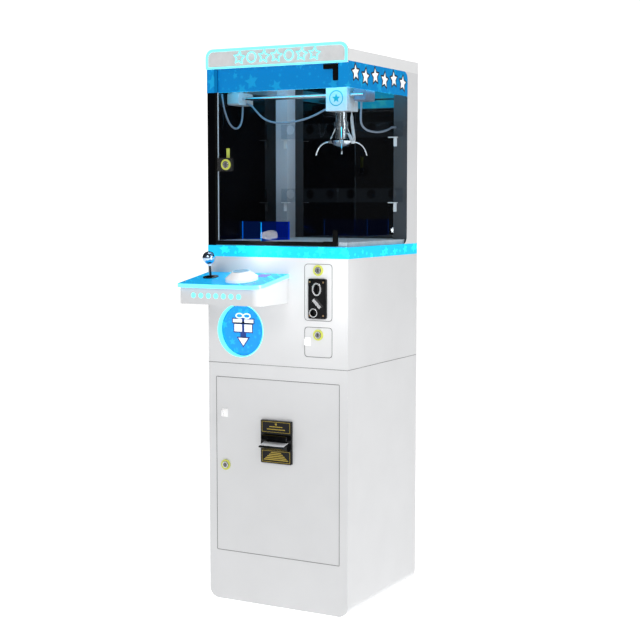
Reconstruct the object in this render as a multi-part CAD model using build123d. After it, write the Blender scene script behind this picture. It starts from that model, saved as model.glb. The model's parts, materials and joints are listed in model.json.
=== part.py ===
from build123d import *
import math
import os

# Claw crane machine, millimetres.  X runs to the right, Y to the back, Z up.
# The origin is the centre of the cabinet's footprint, on the floor.

# ---- overall sizes ----
WIDTH = 555.0
DEPTH = 555.0
PLINTH_TOP = 39.0
BASE_TOP = 851.0
MID_TOP = 1225.0
BAND_TOP = 1264.0
FASCIA_BOTTOM = 1793.5
WINDOW_TOP = 1880.0
ROOF_TOP = 1920.0
HEADER_TOP = 1942.0

LEFT = -WIDTH / 2
RIGHT = WIDTH / 2
FRONT = -DEPTH / 2
BACK = DEPTH / 2

# ---- sheet, glass and fits ----
SHEET = 1.5
GLASS = 4.5
DOOR_GLASS = 5.0
ACRYLIC = 3.0
RUNNING_FIT = 0.05
FREE_GAP = 0.5
LIP = 25.0

# ---- base cabinet and its door ----
PLINTH_RADIUS = 35.0
PLINTH_WALL = 2.0
BASE_DOOR_HALF = 246.0
BASE_DOOR_LOW = 177.6
BASE_DOOR_HIGH = 800.6
BASE_DOOR_GAP = 1.0
SMALL_DOOR_GAP = 0.8
DOOR_FLANGE = 12.0
DOOR_RETURN = 10.0
RING_MARGIN = 4.0
PIVOT_EDGE = 6.0
PIVOT_DEPTH = 3.5
PIVOT_RADIUS = 1.6
BASE_LOCK_X = -208.0
BASE_LOCK_Z = 487.0
BASE_HASP_X = -210.0
BASE_HASP_Z = 673.0
INLET_X = 190.0
INLET_Z = 110.0

BILL_X = 3.2
BILL_Z = 586.0
BILL_WIDTH = 121.6
BILL_HEIGHT = 150.0
BILL_PROUD = 10.0
SNOUT_REACH = 42.0
VALIDATOR_DEPTH = 115.0

# ---- coin door and cash door ----
SERVICE_LEFT = 112.0
SERVICE_RIGHT = 217.6
COIN_LOW = 1014.0
COIN_HIGH = 1206.0
CASH_LOW = 890.0
CASH_HIGH = 991.5
SERVICE_RADIUS = 6.5
SERVICE_LOCK_X = 165.0
COIN_LOCK_Z = 1185.0
CASH_LOCK_Z = 966.0
SELECTOR_WIDTH = 63.5
SELECTOR_HEIGHT = 127.0
SELECTOR_Z = 1089.5
SELECTOR_BACK = 10.0
FACEPLATE = 3.0
RETURN_X = -4.0
RETURN_Z = -8.0
RETURN_RADIUS = 4.5
RETURN_LENGTH = 39.0
RETURN_SLANT = 44.0
CASH_BOX_FRONT = FRONT + 29.5
CASH_BOX_BACK = -130.0
CASH_HASP_X = 124.5
CASH_HASP_Z = 942.0

# ---- cam locks ----
COLLAR_RADIUS = 18.5
COLLAR_PROUD = 4.0
CORE_RADIUS = 11.0
CORE_PROUD = 6.0
BARREL_RADIUS = 9.5
CAM_WIDTH = 12.0
CAM_THICK = 2.5

# ---- prize outlet ----
OUTLET_X = -145.6
OUTLET_Z = 967.4
OUTLET_RADIUS = 90.5
RING_WALL = 3.0
FLAP_RECESS = 19.5
FLAP_THICK = 3.0
FLAP_GAP = 2.5
FLAP_PIN_INSET = 12.9
FLAP_PIN_RISE = OUTLET_RADIUS - FLAP_PIN_INSET
FLAP_PIN_BACK = 5.0
FLAP_PIN_RADIUS = 2.0

# ---- prize chute ----
CHUTE_LEFT = LEFT + 15.5
CHUTE_BACK = -70.0
CHUTE_FRONT = FRONT + 19.5
CHUTE_RIGHT = -76.0
CHUTE_DUCT_RIGHT = -50.0
CHUTE_WALL = 1.2
CHUTE_LOW_FRONT = 862.0
CHUTE_LOW_BACK = 900.0
GUARD_HEIGHT = 65.0

# ---- playfield and window ----
FLOOR_THICK = 16.0
PILLAR_FACE = 188.0
PILLAR_INNER = 223.0
MIRROR_FACE = 251.0
MIRROR_THICK = 4.0
WINDOW_RADIUS = 28.0
STRIP_INNER_RIGHT = 240.5
STRIP_INNER_LEFT = -247.0
GLASS_DOOR_LEFT = -245.0
GLASS_DOOR_RIGHT = 238.0
GLASS_DOOR_LOW = 1267.0
GLASS_DOOR_HIGH = 1871.0
GLASS_PIVOT_X = 235.0
PATCH_PROUD = 1.5
PATCH_REACH = 54.0
PATCH_BAR = 16.0
PATCH_LEG = 18.0
EDGE_STRIP = 10.0
LOCK_PLATE_LEFT = -235.6
LOCK_PLATE_RIGHT = -173.7
LOCK_PLATE_LOW = 1521.5
LOCK_PLATE_HIGH = 1567.8
GLASS_LOCK_X = -198.3
FASCIA_THICK = 4.0
FASCIA_BEHIND_DOOR = 2.5

# ---- header sign ----
HEADER_BOTTOM = 1874.0
HEADER_THICK = 6.0
HEADER_RADIUS = 29.0

# ---- hanging strips ----
STRIP_Y = 172.0
STRIP_LEFT = -240.0
STRIP_RIGHT = 266.0
UPPER_STRIP = (1650.0, 1705.0)
LOWER_STRIP = (1414.0, 1465.0)
STRIP_HOLE = 17.5
STRIP_PITCH = 85.0
STRIP_FIRST = -200.0
STRIP_HOLES = 6

# ---- control console ----
CONSOLE_LEFT = LEFT + 2.5
CONSOLE_RIGHT = 51.0
CONSOLE_REACH = 197.5
CONSOLE_FRONT = FRONT - CONSOLE_REACH
CONSOLE_WALL_Z = 1170.0
CONSOLE_EDGE_Z = 1139.0
DECK_THICK = 12.5
CONSOLE_UNDER = 1070.0
BODY_SIDE_INSET = 4.0
BODY_FRONT_INSET = 12.0
CONSOLE_NOSE_RADIUS = 37.0
CONSOLE_CORNER_RADIUS = 6.5
JOYSTICK_X = -212.0
JOYSTICK_Y = FRONT - 84.5
BALL_RADIUS = 22.3
BALL_RISE = 68.0
SHAFT_RADIUS = 4.0
STICK_RING_RADIUS = 27.0
STICK_HOLE_RADIUS = 14.5
CUP_RADIUS = 24.0
CUP_WALL = 3.0
CUP_DEPTH = 40.0
GIMBAL_DEPTH = 20.0
GIMBAL_RADIUS = 17.0
BUTTON_X = -68.0
BUTTON_Y = FRONT - 113.5
BUTTON_RADIUS = 56.0
BUTTON_SKIRT = 10.0
BUTTON_RISE = 30.0
BUTTON_CAP_RADIUS = 27.0
DISPLAY_LEFT = -49.0
DISPLAY_RIGHT = -7.0
DISPLAY_FRONT = FRONT - 59.5
DISPLAY_BACK = FRONT - 15.5
DECK_SCREWS = [(-268.0, -440.0), (9.0, -436.0), (19.0, -290.0), (-268.0, -290.0)]
SCREW_RADIUS = 4.0

# ---- gantry ----
ROD_Z = 1781.0
ROD_RADIUS = 5.0
ROD_SPACING = 40.0
BRIDGE_Y = -110.0
TRUCK_INNER = 222.0
TRUCK_OUTER = 268.0
TRUCK_LOW = 1759.0
TRUCK_HIGH = 1802.0
LEFT_TRUCK_FRONT = -160.0
RIGHT_TRUCK_FRONT = -130.0
TRUCK_BACK = -60.0
RAIL_LIP_LOW = 1806.0
RAIL_LIP = 3.0
RAIL_INNER = 250.0
RAIL_OUTER = 270.5
RAIL_TALL = 44.0
WHEEL_RADIUS = 12.0
AXLE_RADIUS = 3.0
CARRIAGE_X = 165.0
CARRIAGE_HALF = 41.0
CARRIAGE_FRONT = -150.0
CARRIAGE_BACK = -64.0
CARRIAGE_LOW = 1726.0
CARRIAGE_HIGH = 1812.0
CARRIAGE_WALL = 3.0
DRUM_RADIUS = 16.0
DRUM_Z = 1750.0
HOIST_CORD_RADIUS = 1.0

# ---- claw ----
COIL_RADIUS = 20.0
COIL_LOW = 1632.0
CLAW_GAP = 0.5
COLLAR_OUTER = 25.0
COLLAR_LOW = 1667.0
COLLAR_HIGH = 1690.0
SPIDER_RIM = 40.0
SPIDER_RIM_Z = 1625.0
EAR_LOW = 1617.0
SPIDER_DROP = 22.0
SPIDER_WALL = 2.0
FINGER_PIVOT_R = 44.0
FINGER_PIVOT_Z = 1622.0
FINGER_TIP_R = 102.0
FINGER_TIP_Z = 1579.0
FINGER_ROD = 2.4
FINGER_AZIMUTHS = [-62.0, 58.0, 178.0]

# ---- cables ----
CABLE_RADIUS = 3.5
COIL_CORD_RADIUS = 5.5

DECK_SLOPE = (CONSOLE_WALL_Z - CONSOLE_EDGE_Z) / (FRONT - CONSOLE_FRONT)
DECK_ANGLE = math.degrees(math.atan(DECK_SLOPE))
FLOOR_TOP = BAND_TOP + FLOOR_THICK
SIDE_GLASS_OUT = RIGHT - SHEET
CLAW_X = CARRIAGE_X
CLAW_Y = BRIDGE_Y
RUN_BACK = 0.45


# ---- shape helpers ----
def block(x0, x1, y0, y1, z0, z1):
    centre = Pos((x0 + x1) / 2, (y0 + y1) / 2, (z0 + z1) / 2)
    return centre * Box(x1 - x0, y1 - y0, z1 - z0)


def prism_y(sketch, y0, y1):
    """Extrudes an X-Z sketch from y0 to y1."""
    plane = Plane(origin=(0, y1, 0), x_dir=(1, 0, 0), z_dir=(0, -1, 0))
    return extrude(plane * sketch, amount=y1 - y0)


def prism_x(sketch, x0, x1):
    """Extrudes a Y-Z sketch from x0 to x1."""
    plane = Plane(origin=(x0, 0, 0), x_dir=(0, 1, 0), z_dir=(1, 0, 0))
    return extrude(plane * sketch, amount=x1 - x0)


def prism_z(sketch, z0, z1):
    """Extrudes an X-Y sketch from z0 to z1."""
    return extrude(Pos(0, 0, z0) * sketch, amount=z1 - z0)


def panel(u0, u1, v0, v1, radius=0.0):
    """A rectangle between two corners, with round corners where a radius is given."""
    centre = Pos((u0 + u1) / 2, (v0 + v1) / 2)
    if radius > 0:
        return centre * RectangleRounded(u1 - u0, v1 - v0, radius)
    return centre * Rectangle(u1 - u0, v1 - v0)


def polygon(points):
    return make_face(Polyline(*points, close=True))


def rod_x(y, z, radius, x0, x1):
    return Pos((x0 + x1) / 2, y, z) * Rot(0, 90, 0) * Cylinder(radius, x1 - x0)


def rod_y(x, z, radius, y0, y1):
    return Pos(x, (y0 + y1) / 2, z) * Rot(90, 0, 0) * Cylinder(radius, y1 - y0)


def rod_z(x, y, radius, z0, z1):
    return Pos(x, y, (z0 + z1) / 2) * Cylinder(radius, z1 - z0)


def deck_z(y):
    """Height of the console's sloping top surface."""
    return CONSOLE_WALL_Z - (FRONT - y) * DECK_SLOPE


def on_deck(x, y):
    """Place on the console's top surface, with local Z along its normal."""
    return Pos(x, y, deck_z(y)) * Rot(DECK_ANGLE, 0, 0)


def write(name, *solids):
    shape = solids[0] if len(solids) == 1 else Compound(children=list(solids))
    export_step(shape, f"parts/{name}.step")


# ---- cabinet shells ----
def base_pan():
    outline = panel(LEFT, RIGHT, 0, 2 * PLINTH_TOP, PLINTH_RADIUS)
    upper = panel(LEFT, RIGHT, PLINTH_TOP, 2 * PLINTH_TOP)
    inset = PLINTH_WALL
    inner = panel(LEFT + inset, RIGHT - inset, inset, 2 * PLINTH_TOP - inset, PLINTH_RADIUS - inset)
    pan = prism_y(outline - upper, FRONT, BACK)
    return pan - prism_y(inner, FRONT + inset, BACK - inset)


def base_cabinet():
    shell = block(LEFT, RIGHT, FRONT, BACK, PLINTH_TOP, BASE_TOP)
    hollow = block(LEFT + SHEET, RIGHT - SHEET, FRONT + SHEET, BACK - SHEET, PLINTH_TOP, BASE_TOP - SHEET)
    top_hole = block(LEFT + LIP, RIGHT - LIP, FRONT + LIP, BACK - LIP, BASE_TOP - 2 * SHEET, BASE_TOP)
    doorway = block(-BASE_DOOR_HALF, BASE_DOOR_HALF, FRONT, FRONT + SHEET, BASE_DOOR_LOW, BASE_DOOR_HIGH)
    shell = shell - hollow - top_hole - doorway
    reach = RING_MARGIN
    ring = panel(
        -BASE_DOOR_HALF - reach - SHEET,
        BASE_DOOR_HALF + reach + SHEET,
        BASE_DOOR_LOW - reach - SHEET,
        BASE_DOOR_HIGH + reach + SHEET,
    )
    opening = panel(
        -BASE_DOOR_HALF - reach,
        BASE_DOOR_HALF + reach,
        BASE_DOOR_LOW - reach,
        BASE_DOOR_HIGH + reach,
    )
    shell = shell + prism_y(ring - opening, FRONT + SHEET, FRONT + SHEET + DOOR_RETURN)
    for column in (-110.0, 0.0, 110.0):
        for row in range(8):
            z = 560.0 + 18.0 * row
            slot = panel(column - 35, column + 35, z - 3, z + 3, 2.9)
            shell = shell - prism_y(slot, BACK - SHEET, BACK)
    return shell - inlet_cutout()


def mid_cabinet():
    shell = block(LEFT, RIGHT, FRONT, BACK, BASE_TOP, MID_TOP)
    hollow = block(
        LEFT + SHEET,
        RIGHT - SHEET,
        FRONT + SHEET,
        BACK - SHEET,
        BASE_TOP + SHEET,
        MID_TOP - SHEET,
    )
    lips = block(LEFT + LIP, RIGHT - LIP, FRONT + LIP, BACK - LIP, BASE_TOP, MID_TOP)
    shell = shell - hollow - lips + box_shelf()
    low = MID_TOP - SHEET
    shell = shell - block(CHUTE_LEFT - 3, CHUTE_DUCT_RIGHT + 3, FRONT + 14, FRONT + LIP + 1, low, MID_TOP)
    shell = shell - block(CHUTE_LEFT - 3, LEFT + LIP + 1, FRONT + 14, -60, low, MID_TOP)
    for low, high in ((COIN_LOW, COIN_HIGH), (CASH_LOW, CASH_HIGH)):
        doorway = panel(SERVICE_LEFT, SERVICE_RIGHT, low, high, SERVICE_RADIUS)
        shell = shell - prism_y(doorway, FRONT, FRONT + SHEET)
    outlet = rod_y(OUTLET_X, OUTLET_Z, OUTLET_RADIUS + RING_WALL, FRONT - 1, FRONT + SHEET + 1)
    wiring = panel(-160, -60, 1085, 1125, 10)
    return shell - outlet - prism_y(wiring, FRONT, FRONT + SHEET)


def lower_band():
    width = 12.0
    outer = panel(LEFT, RIGHT, FRONT, BACK)
    inner = panel(LEFT + width, RIGHT - width, FRONT + width, BACK - width)
    return prism_z(outer - inner, MID_TOP, BAND_TOP)


def playfield_floor():
    board = block(-268, 268, -268, MIRROR_FACE, BAND_TOP, FLOOR_TOP)
    board = board - block(CHUTE_LEFT, CHUTE_RIGHT, CHUTE_FRONT, CHUTE_BACK, BAND_TOP, FLOOR_TOP)
    for side in (-1, 1):
        x0 = min(side * (PILLAR_INNER - 1), side * 270)
        x1 = max(side * (PILLAR_INNER - 1), side * 270)
        board = board - block(x0, x1, PILLAR_FACE - 1, BACK, BAND_TOP, FLOOR_TOP)
    return board


def prize_chute():
    front = CHUTE_FRONT - CHUTE_WALL
    back = CHUTE_BACK + CHUTE_WALL
    low_back, low_front = CHUTE_LOW_BACK - 2, CHUTE_LOW_FRONT - 2
    outer = polygon([(front, BAND_TOP), (back, BAND_TOP), (back, low_back), (front, low_front)])
    inner = polygon(
        [
            (CHUTE_FRONT, BAND_TOP + 1),
            (CHUTE_BACK, BAND_TOP + 1),
            (CHUTE_BACK, CHUTE_LOW_BACK),
            (CHUTE_FRONT, CHUTE_LOW_FRONT),
        ]
    )
    duct = prism_x(outer, CHUTE_LEFT - CHUTE_WALL, CHUTE_DUCT_RIGHT + CHUTE_WALL)
    duct = duct - prism_x(inner, CHUTE_LEFT, CHUTE_DUCT_RIGHT)
    mouth_top = OUTLET_Z + OUTLET_RADIUS + 4
    mouth = block(CHUTE_LEFT, CHUTE_DUCT_RIGHT, front - 1, CHUTE_FRONT, CHUTE_LOW_FRONT, mouth_top)
    return duct - mouth


def outlet_ring():
    rear = FRONT + FLAP_RECESS + FLAP_THICK + 0.5
    ring = Circle(OUTLET_RADIUS + RING_WALL) - Circle(OUTLET_RADIUS)
    return prism_y(Pos(OUTLET_X, OUTLET_Z) * ring, FRONT - 0.5, rear)


def chute_guards():
    half = ACRYLIC / 2
    side_x = CHUTE_RIGHT + 6
    rear_y = CHUTE_BACK + 6
    top = FLOOR_TOP + GUARD_HEIGHT
    side = prism_x(panel(CHUTE_FRONT, rear_y - half, FLOOR_TOP, top), side_x - half, side_x + half)
    rear = prism_y(panel(LEFT + 10, side_x + half, FLOOR_TOP, top), rear_y - half, rear_y + half)
    return [side, rear]


# ---- window enclosure ----
def rear_frame():
    solids = []
    window = panel(FRONT - 200, PILLAR_FACE, BAND_TOP, WINDOW_TOP, WINDOW_RADIUS)
    sheet = panel(PILLAR_FACE - WINDOW_RADIUS, BACK - SHEET, BAND_TOP, WINDOW_TOP) - window
    for side in (-1, 1):
        inner = side * PILLAR_INNER
        outer = side * SIDE_GLASS_OUT
        x0, x1 = min(inner, outer), max(inner, outer)
        post = block(x0, x1, PILLAR_FACE, BACK - SHEET, BAND_TOP, WINDOW_TOP)
        core = block(x0 + SHEET, x1 - SHEET, PILLAR_FACE + SHEET, BACK - 2 * SHEET, BAND_TOP, WINDOW_TOP)
        skin_x0 = LEFT if side < 0 else SIDE_GLASS_OUT
        skin = prism_x(sheet, skin_x0, skin_x0 + SHEET)
        solids.append(post - core + skin)
    cover = block(LEFT, RIGHT, BACK - SHEET, BACK, BAND_TOP, WINDOW_TOP)
    for row in range(7):
        z = 1330.0 + 16.0 * row
        cover = cover - prism_y(panel(-90, 90, z - 3, z + 3, 2.9), BACK - SHEET, BACK)
    solids.append(cover)
    return solids


def rear_mirror():
    edge = PILLAR_INNER
    return block(-edge, edge, MIRROR_FACE, MIRROR_FACE + MIRROR_THICK, BAND_TOP, WINDOW_TOP)


def side_glass(side):
    x0 = SIDE_GLASS_OUT - GLASS if side > 0 else -SIDE_GLASS_OUT
    return block(x0, x0 + GLASS, FRONT + DOOR_GLASS, PILLAR_FACE, BAND_TOP, WINDOW_TOP)


def corner_strip(side):
    y1 = FRONT + DOOR_GLASS
    if side > 0:
        return block(STRIP_INNER_RIGHT, SIDE_GLASS_OUT, FRONT, y1, BAND_TOP, FASCIA_BOTTOM)
    return block(-SIDE_GLASS_OUT, STRIP_INNER_LEFT, FRONT, y1, BAND_TOP, FASCIA_BOTTOM)


def upper_band():
    back_of_door = FRONT + DOOR_GLASS + FASCIA_BEHIND_DOOR
    rear = back_of_door + FASCIA_THICK
    lip = SIDE_GLASS_OUT - GLASS - FREE_GAP / 5
    band = block(-lip, lip, back_of_door, rear, FASCIA_BOTTOM, WINDOW_TOP)
    band = band + block(STRIP_INNER_RIGHT, lip, FRONT, rear, FASCIA_BOTTOM, WINDOW_TOP)
    band = band + block(-lip, STRIP_INNER_LEFT, FRONT, rear, FASCIA_BOTTOM, WINDOW_TOP)
    window = panel(FRONT - 200, PILLAR_FACE, BAND_TOP, WINDOW_TOP, WINDOW_RADIUS)
    side = panel(FRONT, BACK, FASCIA_BOTTOM, WINDOW_TOP) & window
    for x0 in (LEFT, SIDE_GLASS_OUT):
        band = band + prism_x(side, x0, x0 + SHEET)
    for x0, x1 in ((LEFT + SHEET, -lip), (lip, SIDE_GLASS_OUT)):
        band = band + block(x0, x1, FRONT, FRONT + DOOR_GLASS, FASCIA_BOTTOM, WINDOW_TOP)
    return band


def roof_box():
    front = FRONT
    shell = block(LEFT, RIGHT, front, BACK, WINDOW_TOP, ROOF_TOP)
    hollow = block(LEFT + SHEET, RIGHT - SHEET, front + SHEET, BACK - SHEET, WINDOW_TOP, ROOF_TOP - SHEET)
    ceiling_top = WINDOW_TOP + ACRYLIC
    ceiling = block(LEFT + SHEET, RIGHT - SHEET, front + SHEET, BACK - SHEET, WINDOW_TOP, ceiling_top)
    return [shell - hollow, ceiling]


def header_sign():
    tall = panel(LEFT, RIGHT, HEADER_BOTTOM - HEADER_RADIUS * 2, HEADER_TOP, HEADER_RADIUS)
    below = panel(LEFT, RIGHT, HEADER_BOTTOM - HEADER_RADIUS * 2, HEADER_BOTTOM)
    return prism_y(tall - below, FRONT - HEADER_THICK, FRONT)


def side_rails():
    front = FRONT + DOOR_GLASS + FASCIA_BEHIND_DOOR + FASCIA_THICK
    rails = []
    for side in (-1, 1):
        x0 = min(side * RAIL_INNER, side * RAIL_OUTER)
        x1 = max(side * RAIL_INNER, side * RAIL_OUTER)
        wall = RAIL_OUTER - 2 * SHEET
        w0 = min(side * wall, side * RAIL_OUTER)
        w1 = max(side * wall, side * RAIL_OUTER)
        lip = block(x0, x1, front, PILLAR_FACE, RAIL_LIP_LOW, RAIL_LIP_LOW + RAIL_LIP)
        rails.append(lip + block(w0, w1, front, PILLAR_FACE, RAIL_LIP_LOW, RAIL_LIP_LOW + RAIL_TALL))
    return rails


def hanger_plates():
    plates = []
    for low, high in (UPPER_STRIP, LOWER_STRIP):
        outline = panel(STRIP_LEFT, STRIP_RIGHT, low, high, 4)
        hole_z = high - 20.5
        for number in range(STRIP_HOLES):
            outline = outline - Pos(STRIP_FIRST + number * STRIP_PITCH, hole_z) * Circle(STRIP_HOLE)
        plates.append(prism_y(outline, STRIP_Y, STRIP_Y + ACRYLIC))
    return plates


def hanger_brackets():
    brackets = []
    for low, high in (UPPER_STRIP, LOWER_STRIP):
        for side in (-1, 1):
            reach = panel(side * 224 - 16, side * 224 + 16, low - 3, low)
            shelf = prism_y(reach, STRIP_Y, PILLAR_FACE)
            leg = panel(side * 230 - 6, side * 230 + 6, low - 34, low - 3, 2)
            brackets.append(shelf + prism_y(leg, PILLAR_FACE - 3, PILLAR_FACE))
    return brackets


# ---- glass door ----
def pivot_notches():
    x0 = GLASS_DOOR_RIGHT - PATCH_LEG + 6
    high = block(x0, GLASS_DOOR_RIGHT, FRONT, FRONT + DOOR_GLASS, GLASS_DOOR_HIGH - 12, GLASS_DOOR_HIGH)
    low = block(x0, GLASS_DOOR_RIGHT, FRONT, FRONT + DOOR_GLASS, GLASS_DOOR_LOW, GLASS_DOOR_LOW + 12)
    return high + low


def glass_door_panel():
    back = FRONT + DOOR_GLASS
    sheet = block(GLASS_DOOR_LEFT, GLASS_DOOR_RIGHT, FRONT, back, GLASS_DOOR_LOW, GLASS_DOOR_HIGH)
    barrel = rod_y(GLASS_LOCK_X, glass_lock_z(), BARREL_RADIUS + FREE_GAP, FRONT - 1, FRONT + DOOR_GLASS + 1)
    return sheet - pivot_notches() - barrel


def glass_door():
    strip_x = GLASS_DOOR_LEFT + EDGE_STRIP
    return glass_door_panel() - edge_channel(GLASS_DOOR_LEFT, strip_x)


def edge_channel(x0, x1):
    """The profile that caps the free edge of the glass door."""
    y0, y1 = FRONT - PATCH_PROUD, FRONT + DOOR_GLASS + PATCH_PROUD / 2
    return block(x0, x1, y0, y1, GLASS_DOOR_LOW, GLASS_DOOR_HIGH)


def glass_fittings():
    right = GLASS_DOOR_RIGHT
    y0, y1 = FRONT - PATCH_PROUD, FRONT + DOOR_GLASS + PATCH_PROUD / 2
    bar_high = panel(right - PATCH_REACH, right, GLASS_DOOR_HIGH - PATCH_BAR, GLASS_DOOR_HIGH)
    leg_high = panel(right - PATCH_LEG, right, GLASS_DOOR_HIGH - PATCH_REACH, GLASS_DOOR_HIGH)
    bar_low = panel(right - PATCH_REACH, right, GLASS_DOOR_LOW, GLASS_DOOR_LOW + PATCH_BAR)
    leg_low = panel(right - PATCH_LEG, right, GLASS_DOOR_LOW, GLASS_DOOR_LOW + PATCH_REACH)
    sill_left = GLASS_DOOR_LEFT + EDGE_STRIP
    sill = panel(sill_left, right - PATCH_REACH - 2, GLASS_DOOR_LOW, GLASS_DOOR_LOW + 14)
    glass = glass_door_panel()
    pin = rod_z(GLASS_PIVOT_X, glass_pivot_y(), PIVOT_RADIUS + RUNNING_FIT, BAND_TOP, WINDOW_TOP)
    high = prism_y(bar_high + leg_high, y0, y1) - glass - pin
    low = prism_y(bar_low + leg_low, y0, y1) - glass - pin
    return [high, low, prism_y(sill, y0, y1) - glass, edge_channel(GLASS_DOOR_LEFT, sill_left)]


def glass_pivot_y():
    return FRONT + DOOR_GLASS / 2


def glass_lock_z():
    return (LOCK_PLATE_LOW + LOCK_PLATE_HIGH) / 2


def glass_lock_plate():
    outline = panel(LOCK_PLATE_LEFT + 0.8, LOCK_PLATE_RIGHT, LOCK_PLATE_LOW, LOCK_PLATE_HIGH, 8)
    square = panel(LOCK_PLATE_LEFT + 0.8, LOCK_PLATE_LEFT + 20, LOCK_PLATE_LOW, LOCK_PLATE_HIGH)
    bore = rod_y(GLASS_LOCK_X, glass_lock_z(), BARREL_RADIUS + FREE_GAP, FRONT - 9, FRONT + 20)
    back_plate = prism_y(outline + square, FRONT + DOOR_GLASS, FRONT + DOOR_GLASS + 2)
    return [prism_y(outline + square, FRONT - 3, FRONT) - bore, back_plate - bore]


# ---- sheet doors ----
def folded_door(x0, x1, z0, z1, radius, flange):
    outline = panel(x0, x1, z0, z1, radius)
    inner_radius = max(radius - SHEET, 0)
    inner = panel(x0 + SHEET, x1 - SHEET, z0 + SHEET, z1 - SHEET, inner_radius)
    tray = prism_y(outline, FRONT, FRONT + flange) - prism_y(inner, FRONT + SHEET, FRONT + flange)
    pin_x = x1 - PIVOT_EDGE
    pin = rod_z(pin_x, FRONT + PIVOT_DEPTH, PIVOT_RADIUS + RUNNING_FIT, z0 - 1, z1 + 1)
    return tray - pin


def barrel_bore(x, z):
    return rod_y(x, z, BARREL_RADIUS + FREE_GAP, FRONT - 1, FRONT + SHEET + 1)


def hasp(x, z):
    """A folded tab with an eye for a padlock."""
    foot = block(x - 11, x + 11, FRONT - 2, FRONT, z - 14.5, z + 14.5)
    eye = prism_x(panel(FRONT - 18, FRONT - 2, z - 11, z + 11, 3), x - 5, x - 2)
    foot = foot + eye
    return foot - rod_x(FRONT - 10, z, 4.0, x - 8, x + 2)


def base_door():
    gap = BASE_DOOR_GAP
    x0, x1 = -BASE_DOOR_HALF + gap, BASE_DOOR_HALF - gap
    door = folded_door(x0, x1, BASE_DOOR_LOW + gap, BASE_DOOR_HIGH - gap, 2.5, DOOR_FLANGE)
    window = panel(BILL_X - 50, BILL_X + 50, BILL_Z - 55, BILL_Z + 55)
    door = door - prism_y(window, FRONT - 1, FRONT + SHEET + 1)
    return [door - barrel_bore(BASE_LOCK_X, BASE_LOCK_Z), hasp(BASE_HASP_X, BASE_HASP_Z)]


def bill_acceptor():
    half_w, half_h = BILL_WIDTH / 2, BILL_HEIGHT / 2
    y0 = FRONT - BILL_PROUD
    bezel = prism_y(panel(BILL_X - half_w, BILL_X + half_w, BILL_Z - half_h, BILL_Z + half_h, 3), y0, FRONT)
    mouth_y = y0 - SNOUT_REACH
    root_y = y0 + 1
    hood = polygon(
        [
            (root_y, BILL_Z + 28),
            (mouth_y + 22, BILL_Z + 24),
            (mouth_y + 18, BILL_Z + 10),
            (root_y, BILL_Z + 8),
        ]
    )
    lip = polygon(
        [
            (root_y, BILL_Z - 2),
            (mouth_y + 4, BILL_Z - 10),
            (mouth_y, BILL_Z - 13),
            (mouth_y + 5, BILL_Z - 16),
            (root_y, BILL_Z - 30),
        ]
    )
    snout = prism_x(hood, BILL_X - 46, BILL_X + 52) + prism_x(lip, BILL_X - 46, BILL_X + 52)
    slot = block(BILL_X - 38, BILL_X + 44, y0 - 5, FRONT - 1, BILL_Z, BILL_Z + 6)
    validator = block(BILL_X - 49, BILL_X + 49, FRONT, FRONT + VALIDATOR_DEPTH, BILL_Z - 54, BILL_Z + 54)
    stacker = block(BILL_X - 40, BILL_X + 40, FRONT + 30, FRONT + VALIDATOR_DEPTH, BILL_Z - 190, BILL_Z - 54)
    return [bezel + snout - slot, validator + stacker]


def service_door(low, high):
    gap = SMALL_DOOR_GAP
    x0, x1 = SERVICE_LEFT + gap, SERVICE_RIGHT - gap
    return folded_door(x0, x1, low + gap, high - gap, SERVICE_RADIUS - gap, DOOR_RETURN)


def coin_door():
    door = service_door(COIN_LOW, COIN_HIGH)
    window = panel(SERVICE_LOCK_X - 24, SERVICE_LOCK_X + 24, SELECTOR_Z - 50, SELECTOR_Z + 50)
    door = door - prism_y(window, FRONT - 1, FRONT + SHEET + 1)
    return door - barrel_bore(SERVICE_LOCK_X, COIN_LOCK_Z)


def coin_housing():
    half_w, half_h = SELECTOR_WIDTH / 2 + 2, SELECTOR_HEIGHT / 2 + 4
    y0 = FRONT - SELECTOR_BACK
    x = SERVICE_LOCK_X
    outline = panel(x - half_w, x + half_w, SELECTOR_Z - half_h, SELECTOR_Z + half_h, 5)
    housing = prism_y(outline, y0, FRONT)
    mechanism = block(x - 23, x + 23, FRONT, FRONT + 50, SELECTOR_Z - 48, SELECTOR_Z + 48)
    slot = block(x - 3, x + 3, y0 - 1, FRONT + 30, SELECTOR_Z + 16, SELECTOR_Z + 48)
    lever_well = rod_y(x + RETURN_X, SELECTOR_Z + RETURN_Z, 7, y0 - 1, y0 + 8)
    cup = block(x - 27, x + 3, y0 - 1, y0 + 8, SELECTOR_Z - 63, SELECTOR_Z - 33)
    return housing + mechanism - slot - lever_well - cup


def coin_faceplate():
    half_w, half_h = SELECTOR_WIDTH / 2, SELECTOR_HEIGHT / 2
    x = SERVICE_LOCK_X
    y1 = FRONT - SELECTOR_BACK
    y0 = y1 - FACEPLATE
    outline = panel(x - half_w, x + half_w, SELECTOR_Z - half_h, SELECTOR_Z + half_h, 2)
    plate = prism_y(outline, y0, y1)
    bezel = prism_y(panel(x - 14, x + 18, SELECTOR_Z + 12, SELECTOR_Z + 52, 15.5), y0 - 3, y0)
    slot = prism_y(panel(x - 2.5, x + 2.5, SELECTOR_Z + 17, SELECTOR_Z + 47), y0 - 4, y1)
    lever_hole = rod_y(x + RETURN_X, SELECTOR_Z + RETURN_Z, RETURN_RADIUS + FREE_GAP, y0 - 1, y1 + 1)
    cup = prism_y(panel(x - 25, x + 1, SELECTOR_Z - 61, SELECTOR_Z - 35, 9), y0 - 1, y1)
    plate = plate + bezel - slot - lever_hole - cup
    solids = [plate]
    for dx in (-1, 1):
        for dz in (-1, 1):
            sx = x + dx * (half_w - 6)
            sz = SELECTOR_Z + dz * (half_h - 7)
            solids.append(rod_y(sx, sz, 2.6, y0 - 1.6, y0))
    return solids


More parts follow.
